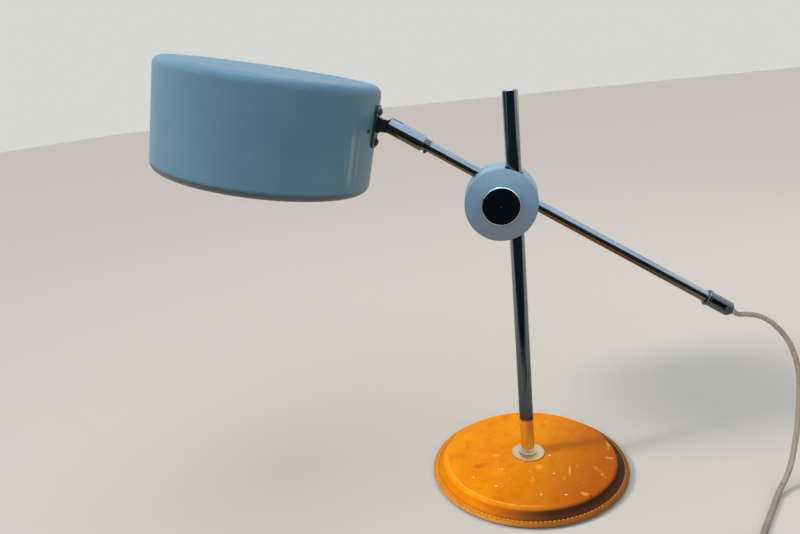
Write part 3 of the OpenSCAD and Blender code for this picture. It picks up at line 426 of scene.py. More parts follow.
def saddleLeather():
    # Vegetable tanned hide, wetted and pressed over the steel: orange and waxed, paler where it was
    # rubbed, rough on its rim; painted shade browns one side, the hollow under the crown and the
    # rim's foot, and a painted highlight runs along the crease
    look = {"hide": ["#ef8402", "#fa9403", "#ffa208"], "brown": "#c4640c", "rubbed": "#fbb03a",
            # The tones for the side, the hollow, the rim's dark side and the rim's foot are painted shade;
            # the crease tone is a painted highlight
            "fleck": "#fdebc8", "paintedSideShade": "#b0540b", "hollow": ["#c06808", "#3d2312"],
            "crumb": ["#8a4c14", "#dda34a"], "crumbShade": "#5f3014", "foot": "#2b1a0c",
            "crease": "#ffc04c", "creaseAt": 86.0, "creaseWide": 1.5,
            "cloudSize": 40, "scuffSize": 8, "fleckSpread": 11, "poreSize": 1.1,
            # Marks that use has left on the crown: x, y, half length, half width, turn, tone
            "marks": [(-33, -5, 5.2, 3.0, -8, "#fcae34"), (9.7, -25.5, 5.4, 4.0, 0, "#fcae34"),
                      (39.3, -31, 9.5, 1.1, 84, "#f6b552"), (23.7, -35.8, 1.8, 1.3, 20, "#f9dca6"),
                      (-32.3, -56, 2.4, 1.2, -5, "#fdeccb"), (32.7, -67.6, 1.4, 1.2, 0, "#fff6e2"),
                      (9.8, -68.1, 1.2, 1.0, 0, "#fbe0ae"), (49.7, -65.7, 4.6, 3.6, -10, "#ea9a36"),
                      (81.3, -7, 5.2, 2.6, -14, "#e39a42"), (-27, -29.3, 1.6, 1.4, 40, "#fcd592"),
                      (0.6, -32.5, 1.0, 0.8, 0, "#fbe0ae"), (-19, -45.3, 1.2, 0.6, 60, "#fcd592"),
                      (-49.4, -23.5, 8.5, 5.5, 10, "#d87208"), (54.9, -68.6, 2.0, 1.8, 0, "#8a2f12"),
                      (-44.9, 14.6, 4.4, 2.2, -20, "#e9850a")]}
    finish, tree, shader, place = newFinish("saddle_leather_waxed", Roughness=0.42, IOR=1.45,
                                            Specular_IOR_Level=0.09)
    hide, cloud = mottle(tree, place, 1 / look["cloudSize"], 5, 0.6,
                         [(0.3, look["hide"][0]), (0.7, look["hide"][2]), (0.5, look["hide"][1])])
    stain = addNode(tree, "TexNoise", {"Scale": 0.075, "Detail": 6, "Roughness": 0.65, "Vector": place})
    stained = addNode(tree, "MapRange", {"From Min": 0.52, "From Max": 0.72, "To Max": 0.4, "Value": stain})
    layers = [(stained, look["brown"])]
    # Painted shade: the foot is painted browner towards one side, away from the light
    split = addNode(tree, "SeparateXYZ", {"Vector": place})
    aside = addNode(tree, "Math", {0: split.outputs["Y"], 1: -0.45, 2: split.outputs["X"]},
                    operation="MULTIPLY_ADD")
    paintedSideShade = addNode(tree, "MapRange", {"From Min": -40, "From Max": 98, "To Max": 0.95, "Value": aside},
                     interpolation_type="SMOOTHSTEP")
    layers.append((paintedSideShade, look["paintedSideShade"]))
    # Rub marks, short and slanting, and a few pale flecks
    slant = addNode(tree, "Mapping", {"Rotation": (0, 0, 0.6), "Scale": (1.0, 0.42, 1.0), "Vector": place})
    scuff = addNode(tree, "TexNoise",
                    {"Scale": 1 / look["scuffSize"], "Detail": 5, "Roughness": 0.6, "Vector": slant})
    scuffed = addNode(tree, "MapRange", {"From Min": 0.63, "From Max": 0.69, "To Max": 0.6, "Value": scuff})
    layers.append((scuffed, look["rubbed"]))
    speck = addNode(tree, "TexVoronoi", {"Scale": 1 / look["fleckSpread"], "Vector": place})
    chance = addNode(tree, "SeparateColor", {"Color": speck.outputs["Color"]})
    size = addNode(tree, "MapRange",
                   {"From Min": 0.55, "From Max": 1.0, "To Min": 0.0, "To Max": 0.11,
                    "Value": chance.outputs["Red"]})
    inside = addNode(tree, "Math", {0: size, 1: speck}, operation="SUBTRACT")
    flecks = addNode(tree, "MapRange", {"From Min": 0.0, "From Max": 0.012, "To Max": 0.9, "Value": inside})
    layers.append((flecks, look["fleck"]))
    ragged = addNode(tree, "TexNoise", {"Scale": 0.35, "Detail": 4, "Roughness": 0.7, "Vector": place})
    for x, y, long, wide, turn, tone in look["marks"]:
        spot = addNode(tree, "Mapping",
                       {"Location": (x, y, 15.8), "Rotation": (0, 0, math.radians(turn)),
                        "Scale": (long, wide, 6), "Vector": place}, vector_type="TEXTURE")
        off = addNode(tree, "VectorMath", {0: spot}, operation="LENGTH")
        edge = addNode(tree, "Math", {0: ragged, 1: 1.6, 2: off}, operation="MULTIPLY_ADD")
        mark = addNode(tree, "MapRange", {"From Min": 1.75, "From Max": 1.3, "To Max": 0.85, "Value": edge})
        layers.append((mark, tone))
    # Painted shade in the hollow under the crown, deeper and browner on the shaded side
    away = addNode(tree, "VectorMath", {0: place}, operation="LENGTH")
    hollowR = addNode(tree, "MapRange", {"From Min": 85.9, "From Max": 88.7, "Value": away})
    hollowZ = addNode(tree, "MapRange", {"From Min": 14.1, "From Max": 11.2, "Value": split.outputs["Z"]})
    hollowEnd = addNode(tree, "MapRange", {"From Min": 97.2, "From Max": 95.2, "Value": away})
    paintedShadeSide = addNode(tree, "MapRange", {"From Min": -32, "From Max": 62, "Value": aside},
                         interpolation_type="SMOOTHSTEP")
    hollowShadeDepth = addNode(tree, "MapRange", {"To Min": 0.55, "To Max": 0.96, "Value": paintedShadeSide})
    hollowShadeTone = addNode(tree, "Mix",
                         {"Factor": paintedShadeSide, "A": look["hollow"][0], "B": look["hollow"][1]},
                         data_type="RGBA")
    hollow = allOf(tree, hollowR, hollowZ, hollowEnd, hollowShadeDepth)
    layers.append((hollow, hollowShadeTone))
    # Painted highlight along the crease at the crown's edge, strongest on the side towards the light and
    # broken up unevenly
    creaseOff = addNode(tree, "Math", {0: away, 1: look["creaseAt"]}, operation="SUBTRACT")
    creaseOff = addNode(tree, "Math", {0: creaseOff}, operation="ABSOLUTE")
    creaseBand = addNode(tree, "MapRange",
                         {"From Min": look["creaseWide"], "From Max": 0.3, "Value": creaseOff})
    creaseWay = addNode(tree, "VectorMath", {0: place, 1: (-0.66, -0.75, 0)}, operation="DOT_PRODUCT")
    creaseSide = addNode(tree, "MapRange",
                         {"From Min": 40, "From Max": 84, "To Max": 0.8, "Value": creaseWay},
                         interpolation_type="SMOOTHSTEP")
    creaseWorn = addNode(tree, "MapRange",
                         {"From Min": 0.36, "From Max": 0.58, "To Min": 0.3, "Value": stain})
    crease = allOf(tree, creaseBand, creaseSide, creaseWorn)
    layers.append((crease, look["crease"]))
    # The rolled rim, crumbled and speckled, with painted shade: darker on the shaded side, and dark where
    # it meets the table
    rim = addNode(tree, "MapRange", {"From Min": 96.6, "From Max": 98.2, "To Max": 0.75, "Value": away})
    crumbs, crumb = mottle(tree, place, 0.75, 6, 0.8, [(0.4, look["crumb"][0]), (0.6, look["crumb"][1])])
    crumbShadeSide = addNode(tree, "MapRange", {"From Min": 0.4, "To Max": 0.75, "Value": paintedShadeSide})
    crumbTone = addNode(tree, "Mix", {"Factor": crumbShadeSide, "A": crumbs, "B": look["crumbShade"]},
                        data_type="RGBA")
    layers.append((rim, crumbTone))
    # Painted shade along the foot of the rim, where it meets the table
    paintedLightBelow = addNode(tree, "MapRange", {"From Min": 3.3, "From Max": 2.0, "Value": split.outputs["Z"]})
    layers.append((paintedLightBelow, look["foot"]))
    colour = layColours(tree, hide, layers)
    unevenShine(tree, shader, stain, 0.3, 0.7, 0.36, 0.54)
    pore = addNode(tree, "TexVoronoi", {"Scale": 1 / look["poreSize"], "Vector": place},
                   feature="DISTANCE_TO_EDGE")
    pores = addNode(tree, "MapRange", {"From Max": 0.16, "Value": pore})
    fold = addNode(tree, "Math", {0: cloud, 1: 6.0, 2: pores}, operation="MULTIPLY_ADD")
    rough = addNode(tree, "Math", {0: rim, 1: crumb}, operation="MULTIPLY")
    height = addNode(tree, "Math", {0: rough, 1: 6.0, 2: fold}, operation="MULTIPLY_ADD")
    coverWith(tree, shader, colour, height, 0.1, 0.5)
    return finish


def bakedEnamel(axisAt, tilt, height):
    # Satin enamel baked on spun steel: blue-grey, even, a slight orange peel and dust, with long pale
    # streaks of painted reflection at one side and painted shade, dark grey, round the curled edge;
    # axisAt and height in mm
    look = {"enamel": ["#50798c", "#587f91"], "dust": "#9fb2b8", "peelSize": 1.3, "dustSize": 2.4,
            "edge": "#43474b", "curlShadeHigh": 8.8, "curlShadeSoft": 3.2, "reflectionTone": "#a9babd",
            # Painted reflection streaks: degrees round the shade from the hinge, half width, from and to in
            # depth, strength
            "reflectionStreaks": [(-24.6, 1.5, 34, 92, 0.32), (-19.3, 0.7, 38, 88, 0.2), (-28.3, 0.5, 46, 80, 0.12)]}
    finish, tree, shader, place = newFinish("baked_enamel_blue_grey", Roughness=0.4, IOR=1.5,
                                            Specular_IOR_Level=0.5)
    tone = mottle(tree, place, 0.02, 4, 0.6, [(0.35, look["enamel"][0]), (0.65, look["enamel"][1])])[0]
    dust, speck = mottle(tree, place, 1 / look["dustSize"], 8, 0.85, [(0.66, 0.0), (0.78, 0.5)])
    layers = [(dust, look["dust"])]
    own = addNode(tree, "Mapping",
                  {"Location": tuple(axisAt), "Rotation": (0, math.radians(tilt), 0), "Vector": place},
                  vector_type="TEXTURE")
    ownSplit = addNode(tree, "SeparateXYZ", {"Vector": own})
    turn = addNode(tree, "Math", {0: ownSplit.outputs["Y"], 1: ownSplit.outputs["X"]}, operation="ARCTAN2")
    # Long pale streaks of painted reflection down one side of the shade
    for degrees, wide, start, end, strength in look["reflectionStreaks"]:
        across = addNode(tree, "Math", {0: turn, 1: math.radians(-degrees)})
        aside = addNode(tree, "Math", {0: across}, operation="ABSOLUTE")
        band = addNode(tree, "MapRange",
                       {"From Min": math.radians(wide * 1.4), "From Max": math.radians(wide * 0.5),
                        "To Max": strength, "Value": aside})
        top = addNode(tree, "MapRange",
                      {"From Min": -start, "From Max": -start - 14, "Value": ownSplit.outputs["Z"]})
        foot = addNode(tree, "MapRange",
                       {"From Min": -end, "From Max": -end + 10, "Value": ownSplit.outputs["Z"]})
        layers.append((allOf(tree, top, foot, band), look["reflectionTone"]))
    # Painted shade: the curled edge is painted dark grey, from its set height down
    edge = addNode(tree, "MapRange",
                   {"From Min": look["curlShadeHigh"] - height,
                    "From Max": look["curlShadeHigh"] - look["curlShadeSoft"] - height, "To Max": 0.85,
                    "Value": ownSplit.outputs["Z"]})
    layers.append((edge, look["edge"]))
    colour = layColours(tree, tone, layers)
    unevenShine(tree, shader, speck, 0.3, 0.7, 0.34, 0.46)
    peel = addNode(tree, "TexNoise", {"Scale": 1 / look["peelSize"], "Detail": 2, "Vector": place})
    coverWith(tree, shader, colour, peel, 0.03, 0.3)
    return finish


def whiteInside():
    # The same enamel in white inside the shade, creamy and a little mottled
    finish, tree, shader, place = newFinish("baked_enamel_white", Roughness=0.45, IOR=1.5)
    tone = mottle(tree, place, 0.025, 5, 0.6, [(0.3, "#d9d2c0"), (0.7, "#eeeae0")])[0]
    peel = addNode(tree, "TexNoise", {"Scale": 0.8, "Detail": 2, "Vector": place})
    coverWith(tree, shader, tone, peel, 0.03, 0.3)
    return finish


def darkPaint(name, tones, rough, *paintedShadeBands):
    # Steel parts in air-drying paint: uneven, chipped here and there, and with painted shade and
    # reflection laid from one height down to another by each given band
    finish, tree, shader, place = newFinish(name, Roughness=rough, IOR=1.5)
    tone = mottle(tree, place, 0.12, 6, 0.65, [(0.35, tones[0]), (0.68, tones[1])])[0]
    chips, chip = mottle(tree, place, 0.5, 8, 0.8, [(0.68, 0.0), (0.72, 0.7)])
    layers = [(chips, tones[2])]
    split = addNode(tree, "SeparateXYZ", {"Vector": place})
    # Each band is painted shade or painted reflection, growing from its high to its low height
    for high, low, bandShadeTint in paintedShadeBands:
        down = addNode(tree, "MapRange",
                       {"From Min": high, "From Max": low, "To Max": 0.85, "Value": split.outputs["Z"]},
                       interpolation_type="SMOOTHSTEP")
        layers.append((down, bandShadeTint))
    colour = layColours(tree, tone, layers)
    coverWith(tree, shader, colour, chip, 0.06, 0.35)
    return finish


def drawnChrome(name, tones, rough, paintedDarkReflection=None, rim=None, paintedLightBelow=None):
    # Decorative chrome over nickel, long in use, with fine lines along the drawn tube and a
    # film of dust; it mirrors in long streaks. The dark tones it is given are painted reflection of a dark
    # room
    finish, tree, shader, place = newFinish(name, Metallic=1.0, Roughness=rough)
    tone, cloud = mottle(tree, place, 0.045, 6, 0.65, [(0.3, tones[0]), (0.7, tones[1])])
    pits, pit = mottle(tree, place, 0.8, 8, 0.85, [(0.64, 0.0), (0.76, 0.8)])
    layers = [(pits, tones[2])]
    if paintedDarkReflection:
        # Painted reflection: above a height the plate is painted dark, darkest at the bottom of that band,
        # as if it mirrored a dark room
        split = addNode(tree, "SeparateXYZ", {"Vector": place})
        above = addNode(tree, "MapRange",
                        {"From Min": paintedDarkReflection[0] - 1.5, "From Max": paintedDarkReflection[0] + 1.5,
                         "Value": split.outputs["Z"]})
        along = addNode(tree, "MapRange",
                        {"From Min": paintedDarkReflection[0], "From Max": paintedDarkReflection[1], "Value": split.outputs["Z"]})
        darkReflectionRamp = addNode(tree, "ValToRGB", {"Fac": along}, [(0.0, paintedDarkReflection[2]), (1.0, paintedDarkReflection[3])])
        layers.append((above, darkReflectionRamp))
    if rim:
        # Painted highlight: the turned edge round an axis along Y is painted brighter than the face inside
        # it
        centred = addNode(tree, "VectorMath", {0: place, 1: (rim[0], 0, rim[1])}, operation="SUBTRACT")
        flat = addNode(tree, "VectorMath", {0: centred, 1: (1, 0, 1)}, operation="MULTIPLY")
        out = addNode(tree, "VectorMath", {0: flat}, operation="LENGTH")
        edge = addNode(tree, "MapRange", {"From Min": rim[2] - 0.2, "From Max": rim[2] + 0.2, "Value": out})
        layers.append((edge, rim[3]))
    if paintedLightBelow:
        # Painted reflection: the side that looks down is tinted warm brown, as if it mirrored a warm
        # surface below
        facing = addNode(tree, "TexCoord")
        turned = addNode(tree, "SeparateXYZ", {"Vector": facing.outputs["Normal"]})
        warmReflectionBelow = addNode(tree, "MapRange", {"From Min": 0.0, "From Max": -0.3, "Value": turned.outputs["Z"]})
        layers.append((warmReflectionBelow, paintedLightBelow))
    colour = layColours(tree, tone, layers)
    unevenShine(tree, shader, cloud, 0.35, 0.65, rough * 0.7, rough * 1.5)
    coverWith(tree, shader, colour, pit, 0.012, 0.3)
    return finish


def mouldedPlastic(name, tones, rough):
    # Moulded or pressed plastic: even colour, a fine texture from the mould, dulled by handling
    grainSize = 0.6
    finish, tree, shader, place = newFinish(name, Roughness=rough, IOR=1.5)
    tone, cloud = mottle(tree, place, 0.08, 5, 0.6, [(0.35, tones[0]), (0.65, tones[1])])
    unevenShine(tree, shader, cloud, 0.35, 0.65, rough - 0.06, rough + 0.08)
    grain = addNode(tree, "TexNoise", {"Scale": 1 / grainSize, "Detail": 3, "Vector": place})
    coverWith(tree, shader, tone, grain, 0.04, 0.35)
    return finish


def plainMetal(name, tones, rough, spotColour):
    # Turned or cast metal left bare: tool marks, a little tarnish
    finish, tree, shader, place = newFinish(name, Metallic=1.0, Roughness=rough)
    tone = mottle(tree, place, 0.15, 7, 0.7, [(0.35, tones[0]), (0.65, tones[1])])[0]
    spots, spot = mottle(tree, place, 0.6, 8, 0.8, [(0.6, 0.0), (0.74, 0.8)])
    colour = layColours(tree, tone, [(spots, spotColour)])
    coverWith(tree, shader, colour, spot, 0.05, 0.4)
    return finish


def cordSheath():
    # Soft vinyl sheath over twisted cores: a grey taupe, matt, with the faint lay of the
    # cores pressed through it and dust in the hollows; patterned along the cord's own UV
    look = {"vinyl": ["#857b6e", "#978c7d"], "grime": "#5e564a", "layLength": 22}
    finish, tree, shader, place = newFinish("cord_vinyl_taupe", Roughness=0.52, IOR=1.52)
    lay = addNode(tree, "UVMap", uv_map="lay")
    laid = addNode(tree, "Mapping", {"Scale": (1000, 1000, 1), "Vector": lay})
    tone = mottle(tree, place, 0.12, 5, 0.6, [(0.35, look["vinyl"][0]), (0.65, look["vinyl"][1])])[0]
    grime = mottle(tree, place, 0.9, 6, 0.8, [(0.58, 0.0), (0.74, 0.55)])[0]
    colour = layColours(tree, tone, [(grime, look["grime"])])
    core = addNode(tree, "TexWave",
                   {"Scale": 2 * math.pi / 20 / (2 * look["layLength"] / 7.5), "Distortion": 0.6,
                    "Vector": laid}, bands_direction="DIAGONAL")
    coverWith(tree, shader, colour, core.outputs["Fac"], 0.1, 0.35)
    return finish


def woolFelt():
    # Pressed wool felt: short fibres, matt, charcoal
    finish, tree, shader, place = newFinish("wool_felt_charcoal", Roughness=0.95, Sheen_Weight=0.3)
    fibre = addNode(tree, "TexNoise",
                    {"Scale": 1.1, "Detail": 8, "Roughness": 0.85, "Distortion": 2.0, "Vector": place})
    tone = addNode(tree, "ValToRGB", {"Fac": fibre}, [(0.3, "#1d1c1b"), (0.72, "#45413d")])
    coverWith(tree, shader, tone, fibre, 0.4, 0.8)
    return finish


def waxedThread():
    # Waxed linen thread, pale
    finish, tree, shader, place = newFinish("waxed_linen_thread", Roughness=0.6)
    twist = addNode(tree, "TexWave", {"Scale": 0.6, "Distortion": 1.0, "Vector": place},
                    bands_direction="DIAGONAL")
    tone = addNode(tree, "ValToRGB", {"Fac": twist.outputs["Fac"]}, [(0.2, "#b98a4c"), (0.8, "#e3c48c")])
    coverWith(tree, shader, tone, twist.outputs["Fac"], 0.06, 0.5)
    return finish


def opalGlass():
    # Inside-frosted lamp glass: milky, with a clear smooth outer face
    finish, tree, shader, place = newFinish("opal_lamp_glass", Roughness=0.18, IOR=1.5,
                                            Transmission_Weight=0.35, Coat_Weight=0.6)
    tone = mottle(tree, place, 0.5, 5, 0.5, [(0.3, "#e7e8e6"), (0.7, "#f4f4f1")])[0]
    feed(shader, Base_Color=tone)
    return finish


wheelMiddle = sum(corner[2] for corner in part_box("hand_wheel")) / 2 * 1000
capLow, capHigh = (Vector(corner) * 1000 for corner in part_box("wheel_cap"))
capMiddle = (capLow + capHigh) / 2
capR = (capHigh.x - capLow.x) / 2
finishes = {
    "leather": saddleLeather(),
    "inside": whiteInside(),
    "teal": darkPaint("hinge_paint_teal", ("#12262b", "#1d363c", "#5b6a6b"), 0.42),
    "navy": darkPaint("knuckle_paint_navy", ("#10151f", "#1a2230", "#3f4a55"), 0.35),
    "bolt": darkPaint("bolt_blacking", ("#17191c", "#2a2320", "#5a4a40"), 0.38),
    "drum": darkPaint("clamp_paint_blue_grey", ("#88aabb", "#93b4c3", "#a9bcc2"), 0.38),
    # The wheel's face is painted darker blue below its middle and warm grey at the bottom: painted shade
    # and warm reflection
    "wheel": darkPaint("wheel_paint_blue_grey", ("#7598ab", "#7e9fb1", "#98acb4"), 0.42,
                       (wheelMiddle + 32, wheelMiddle - 4, "#66849a"),
                       (wheelMiddle + 2, wheelMiddle - 34, "#77757a")),
    # Chrome tones are held dark as painted reflection of a dark room: the tube, collar, ferrule and cap
    # most, the upright by its dark band above its foot
    "rod": drawnChrome("chrome_drawn_tube", ("#8f9296", "#9c9fa3", "#5f584e"), 0.1, paintedLightBelow="#75644c"),
    "pole": drawnChrome("chrome_upright", ("#dcdad6", "#e6e4e0", "#8a8276"), 0.09,
                        (57, 230, "#4a4a4d", "#838c94")),
    "cap": drawnChrome("chrome_cap", ("#595c60", "#65686c", "#4a4744"), 0.07, None,
                       (capMiddle[0], capMiddle[2], capR - 1.1, "#dde3ea")),
    "collar": drawnChrome("chrome_collar", ("#595c60", "#65686c", "#4a4744"), 0.09),
    # The flange's gold tone is partly its own warm tint and partly painted warm reflection of the leather
    # foot
    "flange": drawnChrome("chrome_flange", ("#cfa97e", "#dab88e", "#74583a"), 0.32),
    "cord": cordSheath(),
    "felt": woolFelt(),
    "thread": waxedThread(),
    "glass": opalGlass(),
    "iron": plainMetal("cast_iron_raw", ("#3a3c3e", "#515457"), 0.6, "#5a3a26"),
    "steel": plainMetal("steel_zinc_plated", ("#8d9194", "#a6a9ab"), 0.32, "#6b665e"),
    "brass": plainMetal("brass_turned", ("#a98748", "#c09a55"), 0.3, "#6e4f26"),
    "nickel": plainMetal("nickel_lamp_cap", ("#a9a79f", "#bdbbb2"), 0.28, "#77736a"),
    "rubber": mouldedPlastic("rubber_bush_grey", ("#8d938f", "#a3a8a3"), 0.6),
    "liner": mouldedPlastic("nylon_liner", ("#cfc9b8", "#dcd6c6"), 0.5),
    "bakelite": mouldedPlastic("bakelite_black", ("#17130f", "#231c16"), 0.3),
    "white": mouldedPlastic("urea_plastic_ivory", ("#dcd8cc", "#e6e2d8"), 0.36),
    "black": mouldedPlastic("black_plastic_rocker", ("#1b1c1e", "#26282a"), 0.4),
    "strap": mouldedPlastic("tie_strap_black", ("#1a1a1c", "#28282a"), 0.7),
    "wire": mouldedPlastic("wire_sheath_white", ("#d5d1c5", "#e0dccf"), 0.45),
}
nodeFinish = {
    "rod": ["arm_tube", "knuckle_sleeve"], "collar": ["arm_collar", "tail_ferrule"],
    "pole": ["pole_tube", "pole_top_plug"], "cap": ["wheel_cap"], "flange": ["pole_flange"],
    "teal": ["hinge_plate"], "navy": ["knuckle_blade"],
    "bolt": ["plate_bolts", "knuckle_pin", "collar_screw"],
    "drum": ["clamp_body", "arm_block"], "wheel": ["hand_wheel"],
    "iron": ["base_weight"],
    "steel": ["base_shell", "foot_stud", "foot_washer", "foot_nut", "clamp_stud", "stud_washer", "stud_nut",
              "grip_screw", "plate_nuts", "holder_bracket", "switch_screws"],
    "brass": ["wheel_insert", "holder_nipple", "nipple_nut", "holder_contacts", "switch_contacts"],
    "nickel": ["bulb_cap", "plug_pins"], "glass": ["bulb_glass"], "rubber": ["cord_bush"],
    "liner": ["pole_liner", "arm_liner"], "bakelite": ["lampholder_body"],
    "white": ["switch_lower", "switch_upper", "plug_body"], "black": ["switch_rocker"],
    "wire": ["holder_lead", "inner_lead"],
}
for finishName, names in nodeFinish.items():
    for nodeName in names:
        nodes[nodeName].data.materials.clear()
        nodes[nodeName].data.materials.append(finishes[finishName])
print("finishes made:", len(finishes))


def dress(piece, finishName, body, slot, *replaced):
    # Gives a new piece its finish, its body and the nodes that it stands for
    if finishName:
        piece.data.materials.clear()
        piece.data.materials.append(finishes[finishName])
    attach(piece, body)
    if replaced:
        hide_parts(*replaced)


# Cords take their finish and their bodies

for name, (piece, line, lower, upper) in cords.items():
    piece.data.materials.append(finishes["cord"])
    if upper:
        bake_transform(piece)
    else:
        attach(piece, lower)
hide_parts("cord_stretch")
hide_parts("cord_lead")
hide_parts("cord_coil")
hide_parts("cord_end")
cordFacts = [
    # piece, far end, how it lies, the pieces on it
    ("cord_at_tail", "object", "hanging", ["cord_below_tail"]),
    ("cord_bend", "object", "hanging", []),
    ("cord_hanging", "object", "hanging", []),
    ("cord_on_table", "fitting", "loose", ["switch_lower", "switch_upper", "switch_rocker"]),
    ("cord_lead_run", "object", "loose", []),
    ("cord_coil_wound", "object", "coiled", ["cord_tie_strap"]),
    ("cord_end_run", "plug", "loose", ["plug_body", "plug_pins"]),
]


# Foot: felt pad and leather cover

footSizes = {"padR": 96, "padThick": 1.6, "flatR": 18.3, "crownHeight": 16.4, "creaseHeight": 14.4,
             "leather": 1.2, "holeR": 7.3, "rimR": 94, "turnIn": 88.8, "sides": 144,
             # Arcs of the cover's top side: middle and radius
             "crownEdge": (85.6, 11.2, 3.2), "hollow": (93.5, 9.6, 3.6), "roll": (97.8, 3.8, 2.2),
             "stitchAt": 95.9, "stitchLong": 2.5, "stitchPitch": 4.2, "brimHeight": 6.0}


def domeHeight(r):
    s = footSizes
    if r < s["flatR"]:
        return s["crownHeight"]
    return s["crownHeight"] - (s["crownHeight"] - s["creaseHeight"]) \
        * ((r - s["flatR"]) / (s["crownEdge"][0] - s["flatR"])) ** 2


def makePad():
    edge, thick = footSizes["padR"], footSizes["padThick"]
    rings = (20, 45, 70, 88, edge - 1.2)
    profile = [(r, 0.0) for r in rings] \
        + [(edge - 0.3, 0.25), (edge, 0.7), (edge, thick - 0.5), (edge - 0.4, thick - 0.1)] \
        + [(r, thick) for r in reversed(rings)]
    pad = latheUp("felt_pad", profile, 96, capFirst=True, capLast=True)
    smoothOver(pad, 40)
    dress(pad, "felt", "base", "felt", "base_pad")


def makeLeather():
    s = footSizes
    across = [s["holeR"], 10, 14, s["flatR"], 22, 28, 35, 42, 49, 56, 62, 68, 74, 79, 83, 85.1]

    def arc(name, grown, *turns):
        x, z, r = s[name]
        return arcPoints(x, z, r + grown, *turns)

    low, t = s["padThick"], s["leather"]
    top = [(r, domeHeight(r)) for r in across] \
        + arc("crownEdge", 0, 84, 12, 9) + arc("hollow", 0, 192, 270, 9) + [(95.6, s["brimHeight"])] \
        + arc("roll", 0, 90, -90, 12) + [(s["rimR"], low), (s["turnIn"], low)]
    # The flesh side, one leather thickness in
    inner = [(s["turnIn"], low + t), (s["rimR"], low + t)] + arc("roll", -t, -90, 90, 6) \
        + arc("hollow", t, 270, 192, 6) + arc("crownEdge", -t, 12, 84, 6) \
        + [(r, domeHeight(r) - t) for r in (79, 62, 42, 22, s["holeR"])]
    cover = latheUp("leather_pressed_cover", top + inner, s["sides"])

    def atHole(a, b):
        return all(abs(p.xy.length - s["holeR"]) < 0.01 for p in (a, b)) and abs(a.z - b.z) < 1e-3

    pickEdges(cover, atHole)
    bpy.ops.mesh.bridge_edge_loops()
    bpy.ops.mesh.select_all(action="SELECT")
    bpy.ops.mesh.normals_make_consistent(inside=False)
    bpy.ops.object.mode_set(mode="OBJECT")
    smoothOver(cover, 50)
    dress(cover, "leather", "base", "leather", "leather_cover")


def makeStitches():
    # One stitch, a flattened bead lying along the brim, then a ring of copies
    s = footSizes
    deselect()
    bpy.ops.mesh.primitive_uv_sphere_add(segments=8, ring_count=5, radius=0.001, location=(0, 0, 0))
    stitch = bpy.context.object
    stitch.name = "brim_stitching"
    bpy.ops.object.mode_set(mode="EDIT")
    bpy.ops.transform.resize(value=(0.38, s["stitchLong"] / 2, 0.3))
    bpy.ops.transform.translate(value=(s["stitchAt"] / 1000, 0, (s["brimHeight"] + 0.02) / 1000))
    bpy.ops.object.mode_set(mode="OBJECT")
    bpy.ops.object.transform_apply(location=True, rotation=True, scale=True)
    count = round(2 * math.pi * s["stitchAt"] / s["stitchPitch"])
    copies = [stitch]
    for i in range(1, count):
        copy = stitch.copy()
        copy.data = stitch.data.copy()
        copy.data.transform(Matrix.Rotation(2 * math.pi * i / count, 4, "Z"))
        bpy.context.collection.objects.link(copy)
        copies.append(copy)
    deselect()
    for copy in copies:
        copy.select_set(True)
    bpy.context.view_layer.objects.active = stitch
    bpy.ops.object.join()
    smoothOver(stitch, 60)
    dress(stitch, "thread", "base", "leather")


makePad()
makeLeather()
makeStitches()
print("foot dressed")


# Shade: a spun drum with a curled edge, blue outside and white inside

shadeSizes = {"pivot": (-110.42, 16.3, 359.46), "tilt": 14.4, "axisOff": -124.6, "topUp": 34.4,
              "radius": 107, "height": 103.6, "topRound": 8.7, "curl": 7.5, "wall": 0.8, "sides": 160,
              "boltDepths": (21.9, 51), "boltHole": 4.5, "wireDepth": 44, "wireHole": 5.6,
              "peepTurn": -11, "peepDepth": 39.3, "peepR": 1.5, "washerOut": 109.2, "ringOut": 45.4}
shadePlace = (Matrix.Translation(Vector(shadeSizes["pivot"]) / 1000)
              @ Matrix.Rotation(math.radians(shadeSizes["tilt"]), 4, "Y")
              @ Matrix.Translation(Vector((shadeSizes["axisOff"], 0, shadeSizes["topUp"])) / 1000))


def acrossWall(out, depth, turn=0):
    # Stands a piece's axis across the shade's wall, that far out from the shade's own axis
    return (Matrix.Rotation(math.radians(turn), 4, "Z")
            @ Matrix.Translation(Vector((out, 0, -depth)) / 1000)
            @ Matrix.Rotation(math.pi / 2, 4, "Y"))


def drillThrough(piece, radius, depth, turn=0):
    # A hole through the shade's wall, drilled along its radius
    deselect()
    bpy.ops.mesh.primitive_cylinder_add(vertices=32, radius=radius / 1000, depth=0.012)
    drill = bpy.context.object
    drill.matrix_world = acrossWall(shadeSizes["radius"], depth, turn)
    finishWith(piece, "BOOLEAN", operation="DIFFERENCE", object=drill, solver="EXACT")
    bpy.data.objects.remove(drill)


